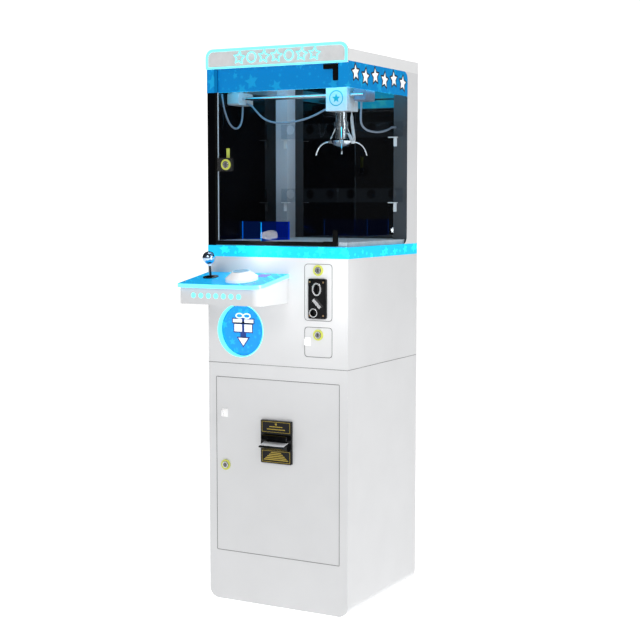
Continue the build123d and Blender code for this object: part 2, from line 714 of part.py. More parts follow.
def coin_return_lever():
    """The coin return: a spindle with a slanted finger lever in front of the plate."""
    x = SERVICE_LOCK_X + RETURN_X
    z = SELECTOR_Z + RETURN_Z
    y0 = FRONT - SELECTOR_BACK - FACEPLATE
    spindle = rod_y(x, z, RETURN_RADIUS, y0 - 4, FRONT - SELECTOR_BACK + 7)
    paddle = Box(11, 7, RETURN_LENGTH)
    paddle = Pos(x, y0 - 4.5, z) * Rot(0, -RETURN_SLANT, 0) * Pos(0, 0, 8 - RETURN_LENGTH / 2) * paddle
    return spindle + paddle


def cash_door():
    door = service_door(CASH_LOW, CASH_HIGH)
    return [door - barrel_bore(SERVICE_LOCK_X, CASH_LOCK_Z), hasp(CASH_HASP_X, CASH_HASP_Z)]


# ---- cam locks ----
def cam_lock(x, z, face_y, cam_y, reach, direction):
    """A round collar, and a turning barrel that carries a cam behind the door."""
    collar = rod_y(x, z, COLLAR_RADIUS, face_y - COLLAR_PROUD, face_y)
    collar = collar - rod_y(x, z, CORE_RADIUS + FREE_GAP, face_y - COLLAR_PROUD - 1, face_y + 1)
    core = rod_y(x, z, CORE_RADIUS, face_y - CORE_PROUD, face_y - FREE_GAP)
    barrel = rod_y(x, z, BARREL_RADIUS, face_y - CORE_PROUD, cam_y + CAM_THICK)
    keyway = block(x - 0.6, x + 0.6, face_y - CORE_PROUD - 1, face_y - 1, z - 4.5, z + 4.5)
    half = CAM_WIDTH / 2
    if direction == "up":
        cam = block(x - half, x + half, cam_y, cam_y + CAM_THICK, z, z + reach)
    else:
        cam = block(x - reach, x, cam_y, cam_y + CAM_THICK, z - half, z + half)
    return [collar, core + barrel + cam - keyway]


def pivot_pair(pin_x, pin_y, low, high, bite):
    """Two brackets behind the front sheet, each with a pin that enters the door's flange."""
    solids = []
    for edge, step in ((high, 1), (low, -1)):
        z0, z1 = sorted((edge + step, edge + step * RING_MARGIN))
        right = pin_x + PIVOT_EDGE + RING_MARGIN
        bracket = block(pin_x - 3.5, right, FRONT + SHEET, FRONT + DOOR_RETURN, z0, z1)
        p0, p1 = sorted((edge - step * bite, edge + step * RING_MARGIN))
        solids.append(bracket + rod_z(pin_x, pin_y, PIVOT_RADIUS, p0, p1))
    return solids


def pivot_pins():
    pin_y = FRONT + PIVOT_DEPTH
    base_x = BASE_DOOR_HALF - BASE_DOOR_GAP - PIVOT_EDGE
    service_x = SERVICE_RIGHT - SMALL_DOOR_GAP - PIVOT_EDGE
    solids = pivot_pair(base_x, pin_y, BASE_DOOR_LOW, BASE_DOOR_HIGH, 6)
    solids = solids + pivot_pair(service_x, pin_y, COIN_LOW, COIN_HIGH, 5)
    solids = solids + pivot_pair(service_x, pin_y, CASH_LOW, CASH_HIGH, 5)
    glass_y = glass_pivot_y()
    solids.append(rod_z(GLASS_PIVOT_X, glass_y, PIVOT_RADIUS, BAND_TOP, GLASS_DOOR_LOW + 10))
    solids.append(rod_z(GLASS_PIVOT_X, glass_y, PIVOT_RADIUS, GLASS_DOOR_HIGH - 10, WINDOW_TOP))
    return solids + flap_rod()


# ---- prize flap ----
def flap_axis():
    back_face = FRONT + FLAP_RECESS + FLAP_THICK
    return back_face + FLAP_PIN_BACK, OUTLET_Z + FLAP_PIN_RISE


def flap_rod():
    y, z = flap_axis()
    rear = FRONT + FLAP_RECESS + FLAP_THICK + 0.5
    rod = rod_x(y, z, FLAP_PIN_RADIUS, OUTLET_X - 38, OUTLET_X + 38)
    for side in (-1, 1):
        x = OUTLET_X + side * 34
        rod = rod + block(x - 1.5, x + 1.5, rear, y + 4, z, z + 12) + rod_x(y, z, 4.3, x - 1.5, x + 1.5)
    return [rod]


def prize_flap():
    y, z = flap_axis()
    front = FRONT + FLAP_RECESS
    disc = rod_y(OUTLET_X, OUTLET_Z, OUTLET_RADIUS - FLAP_GAP, front, front + FLAP_THICK)
    knuckle = rod_x(y, z, FLAP_PIN_RADIUS + 2.2, OUTLET_X - 30, OUTLET_X + 30)
    web = block(OUTLET_X - 30, OUTLET_X + 30, front + FLAP_THICK - 0.5, y, z - 4.2, z - 1)
    flap = disc + knuckle + web
    return flap - rod_x(y, z, FLAP_PIN_RADIUS + RUNNING_FIT, OUTLET_X - 40, OUTLET_X + 40)


# ---- control console ----
def console_outline(inset_side, inset_front, nose, corner):
    x0 = CONSOLE_LEFT + inset_side
    x1 = CONSOLE_RIGHT - inset_side
    y0 = CONSOLE_FRONT + inset_front
    outline = panel(x0, x1, y0, FRONT)
    corners = outline.vertices().sort_by(Axis.Y)[:2].sort_by(Axis.X)
    outline = fillet(corners[0], corner)
    corners = outline.vertices().sort_by(Axis.Y)
    right = [v for v in corners if abs(v.X - x1) < 0.01 and abs(v.Y - y0) < 0.01]
    return fillet(right, nose)


def under_plane(offset):
    """A wedge that fills everything below the deck surface lowered by offset."""
    low_y = CONSOLE_FRONT - 20
    high_y = FRONT
    profile = polygon(
        [
            (low_y, CONSOLE_UNDER - 50),
            (high_y, CONSOLE_UNDER - 50),
            (high_y, deck_z(high_y) - offset),
            (low_y, deck_z(low_y) - offset),
        ]
    )
    return prism_x(profile, LEFT - 50, RIGHT + 50)


def deck_cutouts():
    stick = on_deck(JOYSTICK_X, JOYSTICK_Y) * Cylinder(CUP_RADIUS + 0.2, 80)
    button = on_deck(BUTTON_X, BUTTON_Y) * Cylinder(BUTTON_CAP_RADIUS + 3, 80)
    return stick + button


def display_pocket(height):
    x, y = (DISPLAY_LEFT + DISPLAY_RIGHT) / 2, (DISPLAY_FRONT + DISPLAY_BACK) / 2
    size_x, size_y = DISPLAY_RIGHT - DISPLAY_LEFT, DISPLAY_BACK - DISPLAY_FRONT
    return on_deck(x, y) * Pos(0, 0, height / 2 - 4) * Box(size_x, size_y, height)


def console_plate():
    outline = console_outline(0, 0, CONSOLE_NOSE_RADIUS, CONSOLE_CORNER_RADIUS)
    slab = prism_z(outline, CONSOLE_UNDER, CONSOLE_WALL_Z + 20)
    plate = (slab & under_plane(0)) - under_plane(DECK_THICK)
    plate = plate - deck_cutouts() - display_pocket(20)
    for x, y in DECK_SCREWS:
        plate = plate - on_deck(x, y) * Cylinder(SCREW_RADIUS / 2, 60)
    return plate


def console_body():
    nose = CONSOLE_NOSE_RADIUS - BODY_SIDE_INSET
    outline = console_outline(BODY_SIDE_INSET, BODY_FRONT_INSET, nose, 4)
    inner = console_outline(BODY_SIDE_INSET + SHEET, BODY_FRONT_INSET + SHEET, nose - SHEET, 4 - SHEET)
    body = prism_z(outline, CONSOLE_UNDER, CONSOLE_WALL_Z + 20) & under_plane(DECK_THICK)
    body = body - prism_z(inner, CONSOLE_UNDER + SHEET, CONSOLE_WALL_Z + 20)
    return body


def console_screws():
    screws = []
    for x, y in DECK_SCREWS:
        head = Pos(0, 0, 0.8) * Cylinder(SCREW_RADIUS, 1.6)
        shank = Pos(0, 0, -5) * Cylinder(SCREW_RADIUS / 2, 10)
        screws.append(on_deck(x, y) * (head + shank))
    return screws


def display_window():
    return display_pocket(4.3)


def joystick_ring():
    place = on_deck(JOYSTICK_X, JOYSTICK_Y)
    flange = Pos(0, 0, 1.25) * (Cylinder(STICK_RING_RADIUS, 2.5) - Cylinder(STICK_HOLE_RADIUS, 2.5))
    cup = Pos(0, 0, -CUP_DEPTH / 2) * Cylinder(CUP_RADIUS, CUP_DEPTH)
    well = Pos(0, 0, -CUP_DEPTH / 2 + CUP_WALL) * Cylinder(CUP_RADIUS - CUP_WALL, CUP_DEPTH)
    pin_hole = Pos(0, 0, -GIMBAL_DEPTH) * Rot(0, 90, 0) * Cylinder(2 + RUNNING_FIT, 2 * CUP_RADIUS + 2)
    return place * (cup - well - pin_hole + flange)


def joystick_gimbal():
    place = on_deck(JOYSTICK_X, JOYSTICK_Y) * Pos(0, 0, -GIMBAL_DEPTH)
    ring = Cylinder(GIMBAL_RADIUS, 6) - Cylinder(GIMBAL_RADIUS - 5, 6)
    reach = CUP_RADIUS - GIMBAL_RADIUS - 0.5
    for side in (-1, 1):
        centre = side * (GIMBAL_RADIUS - 1 + reach / 2)
        ring = ring + Pos(centre, 0, 0) * Rot(0, 90, 0) * Cylinder(2, reach + 1)
    cross_bore = Rot(90, 0, 0) * Cylinder(1.5 + RUNNING_FIT, 2 * GIMBAL_RADIUS + 2)
    return place * (ring - cross_bore)


def joystick_lever():
    place = on_deck(JOYSTICK_X, JOYSTICK_Y)
    low = -GIMBAL_DEPTH - 8
    shaft = Pos(0, 0, (BALL_RISE + low) / 2) * Cylinder(SHAFT_RADIUS, BALL_RISE - low)
    cross = Pos(0, 0, -GIMBAL_DEPTH) * Rot(90, 0, 0) * Cylinder(1.5, 2 * GIMBAL_RADIUS - 1)
    return place * (shaft + cross + Pos(0, 0, BALL_RISE) * Sphere(BALL_RADIUS))


def button_housing():
    bore = BUTTON_CAP_RADIUS + FREE_GAP
    profile = Polyline(
        (bore, -24),
        (BUTTON_CAP_RADIUS + 3, -24),
        (BUTTON_CAP_RADIUS + 3, 0),
        (BUTTON_RADIUS, 0),
        (BUTTON_RADIUS, BUTTON_SKIRT),
        (BUTTON_CAP_RADIUS + 3, BUTTON_RISE),
        (bore, BUTTON_RISE),
        close=True,
    )
    ring = revolve(Plane.XZ * make_face(profile), Axis.Z)
    floor = Pos(0, 0, -22.5) * Cylinder(bore + 1, 3)
    return on_deck(BUTTON_X, BUTTON_Y) * (ring + floor)


def push_button():
    top = BUTTON_RISE + 2
    cap = Pos(0, 0, top / 2 - 4) * Cylinder(BUTTON_CAP_RADIUS, top + 8)
    cap = cap - Pos(0, 0, top + 95) * Sphere(97.5)
    stem = Pos(0, 0, -11) * Cylinder(6, 8)
    return on_deck(BUTTON_X, BUTTON_Y) * (cap + stem)


# ---- inside the cabinet ----
def cash_box():
    x0, x1 = SERVICE_LEFT + 4, SERVICE_RIGHT - 4
    y0, y1 = CASH_BOX_FRONT, CASH_BOX_BACK
    low = shelf_top()
    box = block(x0, x1, y0, y1, low, CASH_HIGH - 8)
    return box - block(x0 + SHEET, x1 - SHEET, y0 + SHEET, y1 - SHEET, low + SHEET, CASH_HIGH)


def shelf_top():
    return CASH_LOW + 3.0


def box_shelf():
    """The sheet shelf on the cabinet's right wall that carries the cash box."""
    top = shelf_top()
    x0, y0, y1 = SERVICE_LEFT, CASH_BOX_FRONT, CASH_BOX_BACK + 6
    shelf = block(x0, RIGHT - SHEET, y0, y1, top - SHEET, top)
    return shelf + block(x0, x0 + SHEET, y0, y1, top - 20, top)


def electronics_tray():
    low = PLINTH_WALL
    tray = block(-200, 200, 0, 230, low, low + 2)
    supply = block(-180, -20, 60, 160, low + 2, low + 52)
    board = block(20, 180, 40, 190, low + 12, low + 13.6)
    for x in (30, 170):
        for y in (50, 180):
            board = board + rod_z(x, y, 3, low + 2, low + 12)
    return [tray, supply, board]


def inlet_cutout():
    return block(INLET_X - 24, INLET_X + 24, BACK - 5, BACK + 1, INLET_Z - 14, INLET_Z + 14)


def power_inlet():
    flange = block(INLET_X - 34, INLET_X + 34, BACK, BACK + 3, INLET_Z - 18, INLET_Z + 18)
    body = block(INLET_X - 24, INLET_X + 24, BACK - 30, BACK, INLET_Z - 14, INLET_Z + 14)
    cavity = block(INLET_X - 13, INLET_X + 13, BACK - 14, BACK + 4, INLET_Z - 9, INLET_Z + 9)
    inlet = flange + body - cavity
    for step in (-6.5, 0, 6.5):
        x = INLET_X + step
        inlet = inlet + block(x - 1, x + 1, BACK - 15, BACK - 2, INLET_Z - 3, INLET_Z + 3)
    return inlet


# ---- gantry ----
def rod_ys():
    return [BRIDGE_Y - ROD_SPACING / 2, BRIDGE_Y + ROD_SPACING / 2]


def axle_z():
    return RAIL_LIP_LOW + RAIL_LIP + WHEEL_RADIUS + 0.3


def bridge_rods():
    reach = TRUCK_OUTER - 8
    return [rod_x(y, ROD_Z, ROD_RADIUS, -reach, reach) for y in rod_ys()]


def bridge_trucks():
    trucks = []
    for side in (-1, 1):
        x0, x1 = sorted((side * TRUCK_INNER, side * TRUCK_OUTER))
        front = LEFT_TRUCK_FRONT if side < 0 else RIGHT_TRUCK_FRONT
        truck = block(x0, x1, front, TRUCK_BACK, TRUCK_LOW, TRUCK_HIGH)
        truck = chamfer(truck.edges().filter_by(Axis.X), 5)
        a0, a1 = sorted((side * (RAIL_INNER - 12), side * (RAIL_INNER - 4)))
        high = axle_z() + 9
        for y in (front + 7, BRIDGE_Y + 5, TRUCK_BACK - 12):
            truck = truck + block(a0, a1, y - 5, y + 5, TRUCK_HIGH - 1, high)
        p0, p1 = sorted((side * (RAIL_INNER - 5), side * (RAIL_OUTER - 6)))
        pad_low = RAIL_LIP_LOW + RAIL_LIP + 0.4
        for y in (front + 7, TRUCK_BACK - 12):
            truck = truck + block(p0, p1, y - 5, y + 5, pad_low, pad_low + 6)
        for y in rod_ys():
            truck = truck - rod_x(y, ROD_Z, ROD_RADIUS, -TRUCK_OUTER + 8, TRUCK_OUTER - 8)
        truck = truck - rod_x(BRIDGE_Y + 5, axle_z(), AXLE_RADIUS + RUNNING_FIT, x0 - 1, x1 + 1)
        trucks.append(truck)
    return trucks


def bridge_axle():
    """The cross shaft with a drive wheel over each rail lip."""
    y, z = BRIDGE_Y + 5, axle_z()
    reach = RAIL_INNER + 12
    axle = rod_x(y, z, AXLE_RADIUS, -reach, reach)
    for side in (-1, 1):
        w0, w1 = sorted((side * (RAIL_INNER + 1), side * (RAIL_INNER + 10)))
        axle = axle + rod_x(y, z, WHEEL_RADIUS, w0, w1)
    return axle


def carriage_housing():
    x0, x1 = CARRIAGE_X - CARRIAGE_HALF, CARRIAGE_X + CARRIAGE_HALF
    wall = CARRIAGE_WALL
    case = block(x0, x1, CARRIAGE_FRONT, CARRIAGE_BACK, CARRIAGE_LOW, CARRIAGE_HIGH)
    case = fillet(case.edges().filter_by(Axis.Z), 3)
    case = case - block(
        x0 + wall,
        x1 - wall,
        CARRIAGE_FRONT + wall,
        CARRIAGE_BACK - wall,
        CARRIAGE_LOW + wall,
        CARRIAGE_HIGH - wall,
    )
    for y in rod_ys():
        case = case - rod_x(y, ROD_Z, ROD_RADIUS + RUNNING_FIT, x0 - 1, x1 + 1)
    case = case - rod_x(drum_y(), DRUM_Z, AXLE_RADIUS + RUNNING_FIT, x0 - 1, x1 + 1)
    return case - rod_z(CLAW_X, CLAW_Y, 4, CARRIAGE_LOW - 1, CARRIAGE_LOW + wall + 1)


def drum_y():
    return CLAW_Y + DRUM_RADIUS + HOIST_CORD_RADIUS + 0.2


def hoist_drum():
    x0, x1 = CARRIAGE_X - CARRIAGE_HALF, CARRIAGE_X + CARRIAGE_HALF
    drum = rod_x(drum_y(), DRUM_Z, AXLE_RADIUS, x0, x1)
    drum = drum + rod_x(drum_y(), DRUM_Z, DRUM_RADIUS, CARRIAGE_X - 14, CARRIAGE_X + 14)
    for x in (CARRIAGE_X - 16, CARRIAGE_X + 14):
        drum = drum + rod_x(drum_y(), DRUM_Z, DRUM_RADIUS + 4, x, x + 2)
    return drum


def hoist_cord():
    return rod_z(CLAW_X, CLAW_Y, HOIST_CORD_RADIUS, CARRIAGE_LOW - CLAW_GAP, DRUM_Z)


# ---- claw ----
def around_claw(azimuth):
    """Local X points outwards at this azimuth, and local Z is up, from the claw's axis."""
    return Pos(CLAW_X, CLAW_Y, 0) * Rot(0, 0, azimuth)


def claw_coil():
    top = CARRIAGE_LOW - CLAW_GAP
    body = rod_z(0, 0, COIL_RADIUS - 4, top - 4, top) + rod_z(0, 0, COIL_RADIUS, COIL_LOW, top - 4)
    ball = (SPIDER_RIM**2 + SPIDER_DROP**2) / (2 * SPIDER_DROP)
    centre_z = SPIDER_RIM_Z - SPIDER_DROP + ball
    bowl = Pos(0, 0, centre_z) * (Sphere(ball) - Sphere(ball - SPIDER_WALL))
    bowl = bowl & block(-ball, ball, -ball, ball, SPIDER_RIM_Z - SPIDER_DROP - 1, SPIDER_RIM_Z)
    neck = rod_z(0, 0, 7, SPIDER_RIM_Z - SPIDER_DROP + 1, COIL_LOW)
    body = body + bowl + neck
    for azimuth in FINGER_AZIMUTHS:
        for side in (-1, 1):
            y0, y1 = side * 6 - 1.25, side * 6 + 1.25
            ear = block(SPIDER_RIM - 4, FINGER_PIVOT_R + 4, y0, y1, EAR_LOW, SPIDER_RIM_Z + 2)
            body = body + Rot(0, 0, azimuth) * ear
        pin = rod_y(FINGER_PIVOT_R, FINGER_PIVOT_Z, 1.5 + RUNNING_FIT, -9, 9)
        body = body - Rot(0, 0, azimuth) * pin
    return Pos(CLAW_X, CLAW_Y, 0) * body


def claw_plunger():
    """The collar that slides on the coil, with a strut down towards each finger."""
    ring = rod_z(0, 0, COLLAR_OUTER, COLLAR_LOW, COLLAR_HIGH)
    for azimuth in FINGER_AZIMUTHS:
        start = Vector(COLLAR_OUTER - 1.5, 0, COLLAR_LOW + 4)
        end = Vector(FINGER_PIVOT_R - 2, 0, FINGER_PIVOT_Z + 12)
        direction = end - start
        plane = Plane(origin=start, z_dir=direction)
        strut = extrude(plane * Circle(2), amount=direction.length)
        ring = ring + Rot(0, 0, azimuth) * (strut + Pos(end.X, 0, end.Z) * Sphere(2.6))
    ring = ring - rod_z(0, 0, COIL_RADIUS + RUNNING_FIT, COLLAR_LOW - 1, COLLAR_HIGH + 1)
    return Pos(CLAW_X, CLAW_Y, 0) * ring


def claw_finger(azimuth):
    pivot = (FINGER_PIVOT_R, FINGER_PIVOT_Z)
    mid = (FINGER_PIVOT_R + 43, FINGER_PIVOT_Z - 15)
    tip = (FINGER_TIP_R, FINGER_TIP_Z)
    arc = Plane.XZ * ThreePointArc(pivot, mid, tip)
    start = arc @ 0
    rod = sweep(Plane(origin=start, z_dir=arc % 0) * Circle(FINGER_ROD), path=arc)
    hub = rod_y(FINGER_PIVOT_R, FINGER_PIVOT_Z, 3.6, -4.4, 4.4)
    pin = rod_y(FINGER_PIVOT_R, FINGER_PIVOT_Z, 1.5, -8, 8)
    toe = Pos(FINGER_TIP_R, 0, FINGER_TIP_Z) * Sphere(FINGER_ROD + 0.4)
    return around_claw(azimuth) * (rod + hub + pin + toe)


# ---- cables ----
def cable(points, radius):
    """A hanging cable: straight runs between the points, joined by arcs as large as the runs allow."""
    vectors = [Vector(*p) for p in points]
    radii = []
    for before, corner, after in zip(vectors, vectors[1:], vectors[2:]):
        turn = (corner - before).get_angle(after - corner)
        run = min((corner - before).length, (after - corner).length)
        radii.append(RUN_BACK * run / math.tan(math.radians(turn / 2)))
    path = FilletPolyline(*vectors, radius=radii)
    tube = sweep(Plane(origin=path @ 0, z_dir=path % 0) * Circle(radius), path=path)
    expected = math.pi * radius**2 * path.length
    print("cable radii", [round(r, 1) for r in radii], "length", round(path.length, 1))
    print("cable volume ratio", round(tube.volume / expected, 4))
    return tube


LEFT_FESTOON = [
    (-250, -224, 1793.5),
    (-249, -219, 1757),
    (-247, -202, 1716),
    (-245, -178, 1685),
    (-241, -146, 1672.5),
    (-236, -124, 1686),
    (-232, -115, 1716),
    (-232, -115, 1759),
]
BRIDGE_FESTOON = [
    (-222, -104, 1764),
    (-206, -104, 1764),
    (-183, -104, 1739),
    (-154, -103, 1711),
    (-116, -102, 1696),
    (-66, -101, 1692.5),
    (-14, -101, 1698),
    (38, -102, 1710),
    (78, -103, 1726),
    (103, -104, 1737.5),
    (123.7, -104, 1737.5),
]
RIGHT_FESTOON = [
    (245, -118, 1759),
    (245, -118, 1737),
    (247, -126, 1704),
    (248, -124, 1680),
    (249, -98, 1664),
    (249, -52, 1658),
    (247, 6, 1658),
    (242, 66, 1664),
    (236, 122, 1674),
    (230, 156, 1684),
    (230, 188, 1684),
]
CLAW_CORD = [
    (199, -99, 1725.7),
    (200, -100, 1697),
    (205, -103, 1667),
    (212, -108, 1642),
    (216, -114, 1625),
    (214, -121, 1613.5),
    (208.5, -122, 1632),
    (196.5, -115.6, 1650),
    (185.2, -113.6, 1650),
]


def side_festoons():
    return [cable(LEFT_FESTOON, CABLE_RADIUS), cable(RIGHT_FESTOON, CABLE_RADIUS)]


def bridge_festoon():
    return cable(BRIDGE_FESTOON, CABLE_RADIUS)


def claw_cord():
    return cable(CLAW_CORD, COIL_CORD_RADIUS)


def lock_nodes():
    rear = FRONT + DOOR_FLANGE + 2
    service = FRONT + DOOR_RETURN + 2
    write("base_lock", *cam_lock(BASE_LOCK_X, BASE_LOCK_Z, FRONT, rear, 46, "up"))
    write("coin_lock", *cam_lock(SERVICE_LOCK_X, COIN_LOCK_Z, FRONT, service, 28, "left"))
    write("cash_lock", *cam_lock(SERVICE_LOCK_X, CASH_LOCK_Z, FRONT, service, 32, "left"))
    plate_face = FRONT - 3
    write("glass_lock", *cam_lock(GLASS_LOCK_X, glass_lock_z(), plate_face, FRONT + 9, 56, "up"))


def main():
    os.makedirs("parts", exist_ok=True)
    write("base_pan", base_pan())
    write("base_cabinet", base_cabinet())
    write("mid_cabinet", mid_cabinet())
    write("lower_band", lower_band())
    write("playfield_floor", playfield_floor())
    write("prize_chute", prize_chute())
    write("outlet_ring", outlet_ring())
    write("chute_guards", *chute_guards())
    write("rear_frame", *rear_frame())
    write("rear_mirror", rear_mirror())
    write("left_glass", side_glass(-1), corner_strip(-1))
    write("right_glass", side_glass(1), corner_strip(1))
    write("upper_band", upper_band())
    write("roof_box", *roof_box())
    write("header_sign", header_sign())
    write("side_rails", *side_rails())
    write("hanger_plates", *hanger_plates())
    write("hanger_brackets", *hanger_brackets())
    write("console_body", console_body())
    write("console_plate", console_plate())
    write("console_screws", *console_screws())
    write("display_window", display_window())
    write("joystick_ring", joystick_ring())
    write("joystick_gimbal", joystick_gimbal())
    write("joystick_lever", joystick_lever())
    write("button_housing", button_housing())
    write("push_button", push_button())
    write("cash_box", cash_box())
    write("electronics_tray", *electronics_tray())
    write("power_inlet", power_inlet())
    write("pivot_pins", *pivot_pins())
    write("base_door", *base_door())
    write("bill_acceptor", *bill_acceptor())
    write("coin_door", coin_door())
    write("coin_housing", coin_housing())
    write("coin_faceplate", *coin_faceplate())
    write("coin_return_lever", coin_return_lever())
    write("cash_door", *cash_door())
    write("prize_flap", prize_flap())
    write("glass_door", glass_door())
    write("glass_fittings", *glass_fittings())
    write("glass_lock_plate", *glass_lock_plate())
    lock_nodes()
    write("bridge_trucks", *bridge_trucks())
    write("bridge_rods", *bridge_rods())
    write("bridge_axle", bridge_axle())
    write("carriage_housing", carriage_housing())
    write("hoist_drum", hoist_drum())
    write("hoist_cord", hoist_cord())
    write("claw_coil", claw_coil())
    write("claw_plunger", claw_plunger())
    for name, azimuth in zip(("front", "right", "left"), FINGER_AZIMUTHS):
        write(f"claw_finger_{name}", claw_finger(azimuth))
    write("claw_cord", claw_cord())
    write("bridge_festoon", bridge_festoon())
    write("side_festoons", *side_festoons())


main()
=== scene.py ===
"""Claw crane machine: finishes, printed decoration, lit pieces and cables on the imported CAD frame."""

import json
import math

import bmesh
import bpy
from mathutils import Matrix, Vector


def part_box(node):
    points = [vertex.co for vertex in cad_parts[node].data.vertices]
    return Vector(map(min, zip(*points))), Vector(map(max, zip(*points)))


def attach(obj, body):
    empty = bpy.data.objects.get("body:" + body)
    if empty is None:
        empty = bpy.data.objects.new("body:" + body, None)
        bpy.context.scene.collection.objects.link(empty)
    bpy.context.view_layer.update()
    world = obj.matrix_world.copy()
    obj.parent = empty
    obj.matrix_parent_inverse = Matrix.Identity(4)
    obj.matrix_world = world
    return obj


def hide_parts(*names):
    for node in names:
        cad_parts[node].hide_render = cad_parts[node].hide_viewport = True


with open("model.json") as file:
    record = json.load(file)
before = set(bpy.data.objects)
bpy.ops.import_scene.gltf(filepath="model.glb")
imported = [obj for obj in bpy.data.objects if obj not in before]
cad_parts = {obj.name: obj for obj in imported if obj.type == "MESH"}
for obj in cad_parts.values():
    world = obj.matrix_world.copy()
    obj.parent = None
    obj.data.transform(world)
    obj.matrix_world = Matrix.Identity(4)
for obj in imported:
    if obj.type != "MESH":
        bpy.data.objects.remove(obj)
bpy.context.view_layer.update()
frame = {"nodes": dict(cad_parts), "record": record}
NODES = frame["nodes"]
JOINTS = {joint["name"]: joint for joint in frame["record"]["behaviour"]["joints"]}
MM = 0.001

CABINET_LOW, CABINET_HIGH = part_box("base_cabinet")
FRONT = CABINET_LOW[1]
LEFT, RIGHT = CABINET_LOW[0], CABINET_HIGH[0]
BAND_LOW, BAND_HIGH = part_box("upper_band")
WINDOW_TOP = BAND_HIGH[2]
FASCIA_BOTTOM = BAND_LOW[2]
BAND_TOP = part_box("lower_band")[1][2]
DECK_SLOPE = 31 / 197.5
LOCKS = ("base_lock", "coin_lock", "cash_lock", "glass_lock")

# camera and lamps: metres, degrees, millimetres of lens and watts
LENS = 76.08
CAMERA_PLACE = (2.3432, -4.2842, 1.4172)
CAMERA_DIP = 4.97
CAMERA_TURN = 28.46
SIDE_POWER = 68
FRONT_POWER = 66
TOP_POWER = 22
CONSOLE_GLOW = 0.62
DECK_GLOW = 0.16


# ---- camera ----
def make_camera():
    """The camera, at the photo's angle."""
    data = bpy.data.cameras.new("photo_camera")
    data.sensor_width = 36
    data.lens = LENS
    data.clip_end = 50
    camera = bpy.data.objects.new("photo_camera", data)
    bpy.context.scene.collection.objects.link(camera)
    camera.location = CAMERA_PLACE
    camera.rotation_euler = [math.radians(angle) for angle in (90 - CAMERA_DIP, 0.0, CAMERA_TURN)]
    bpy.context.scene.camera = camera


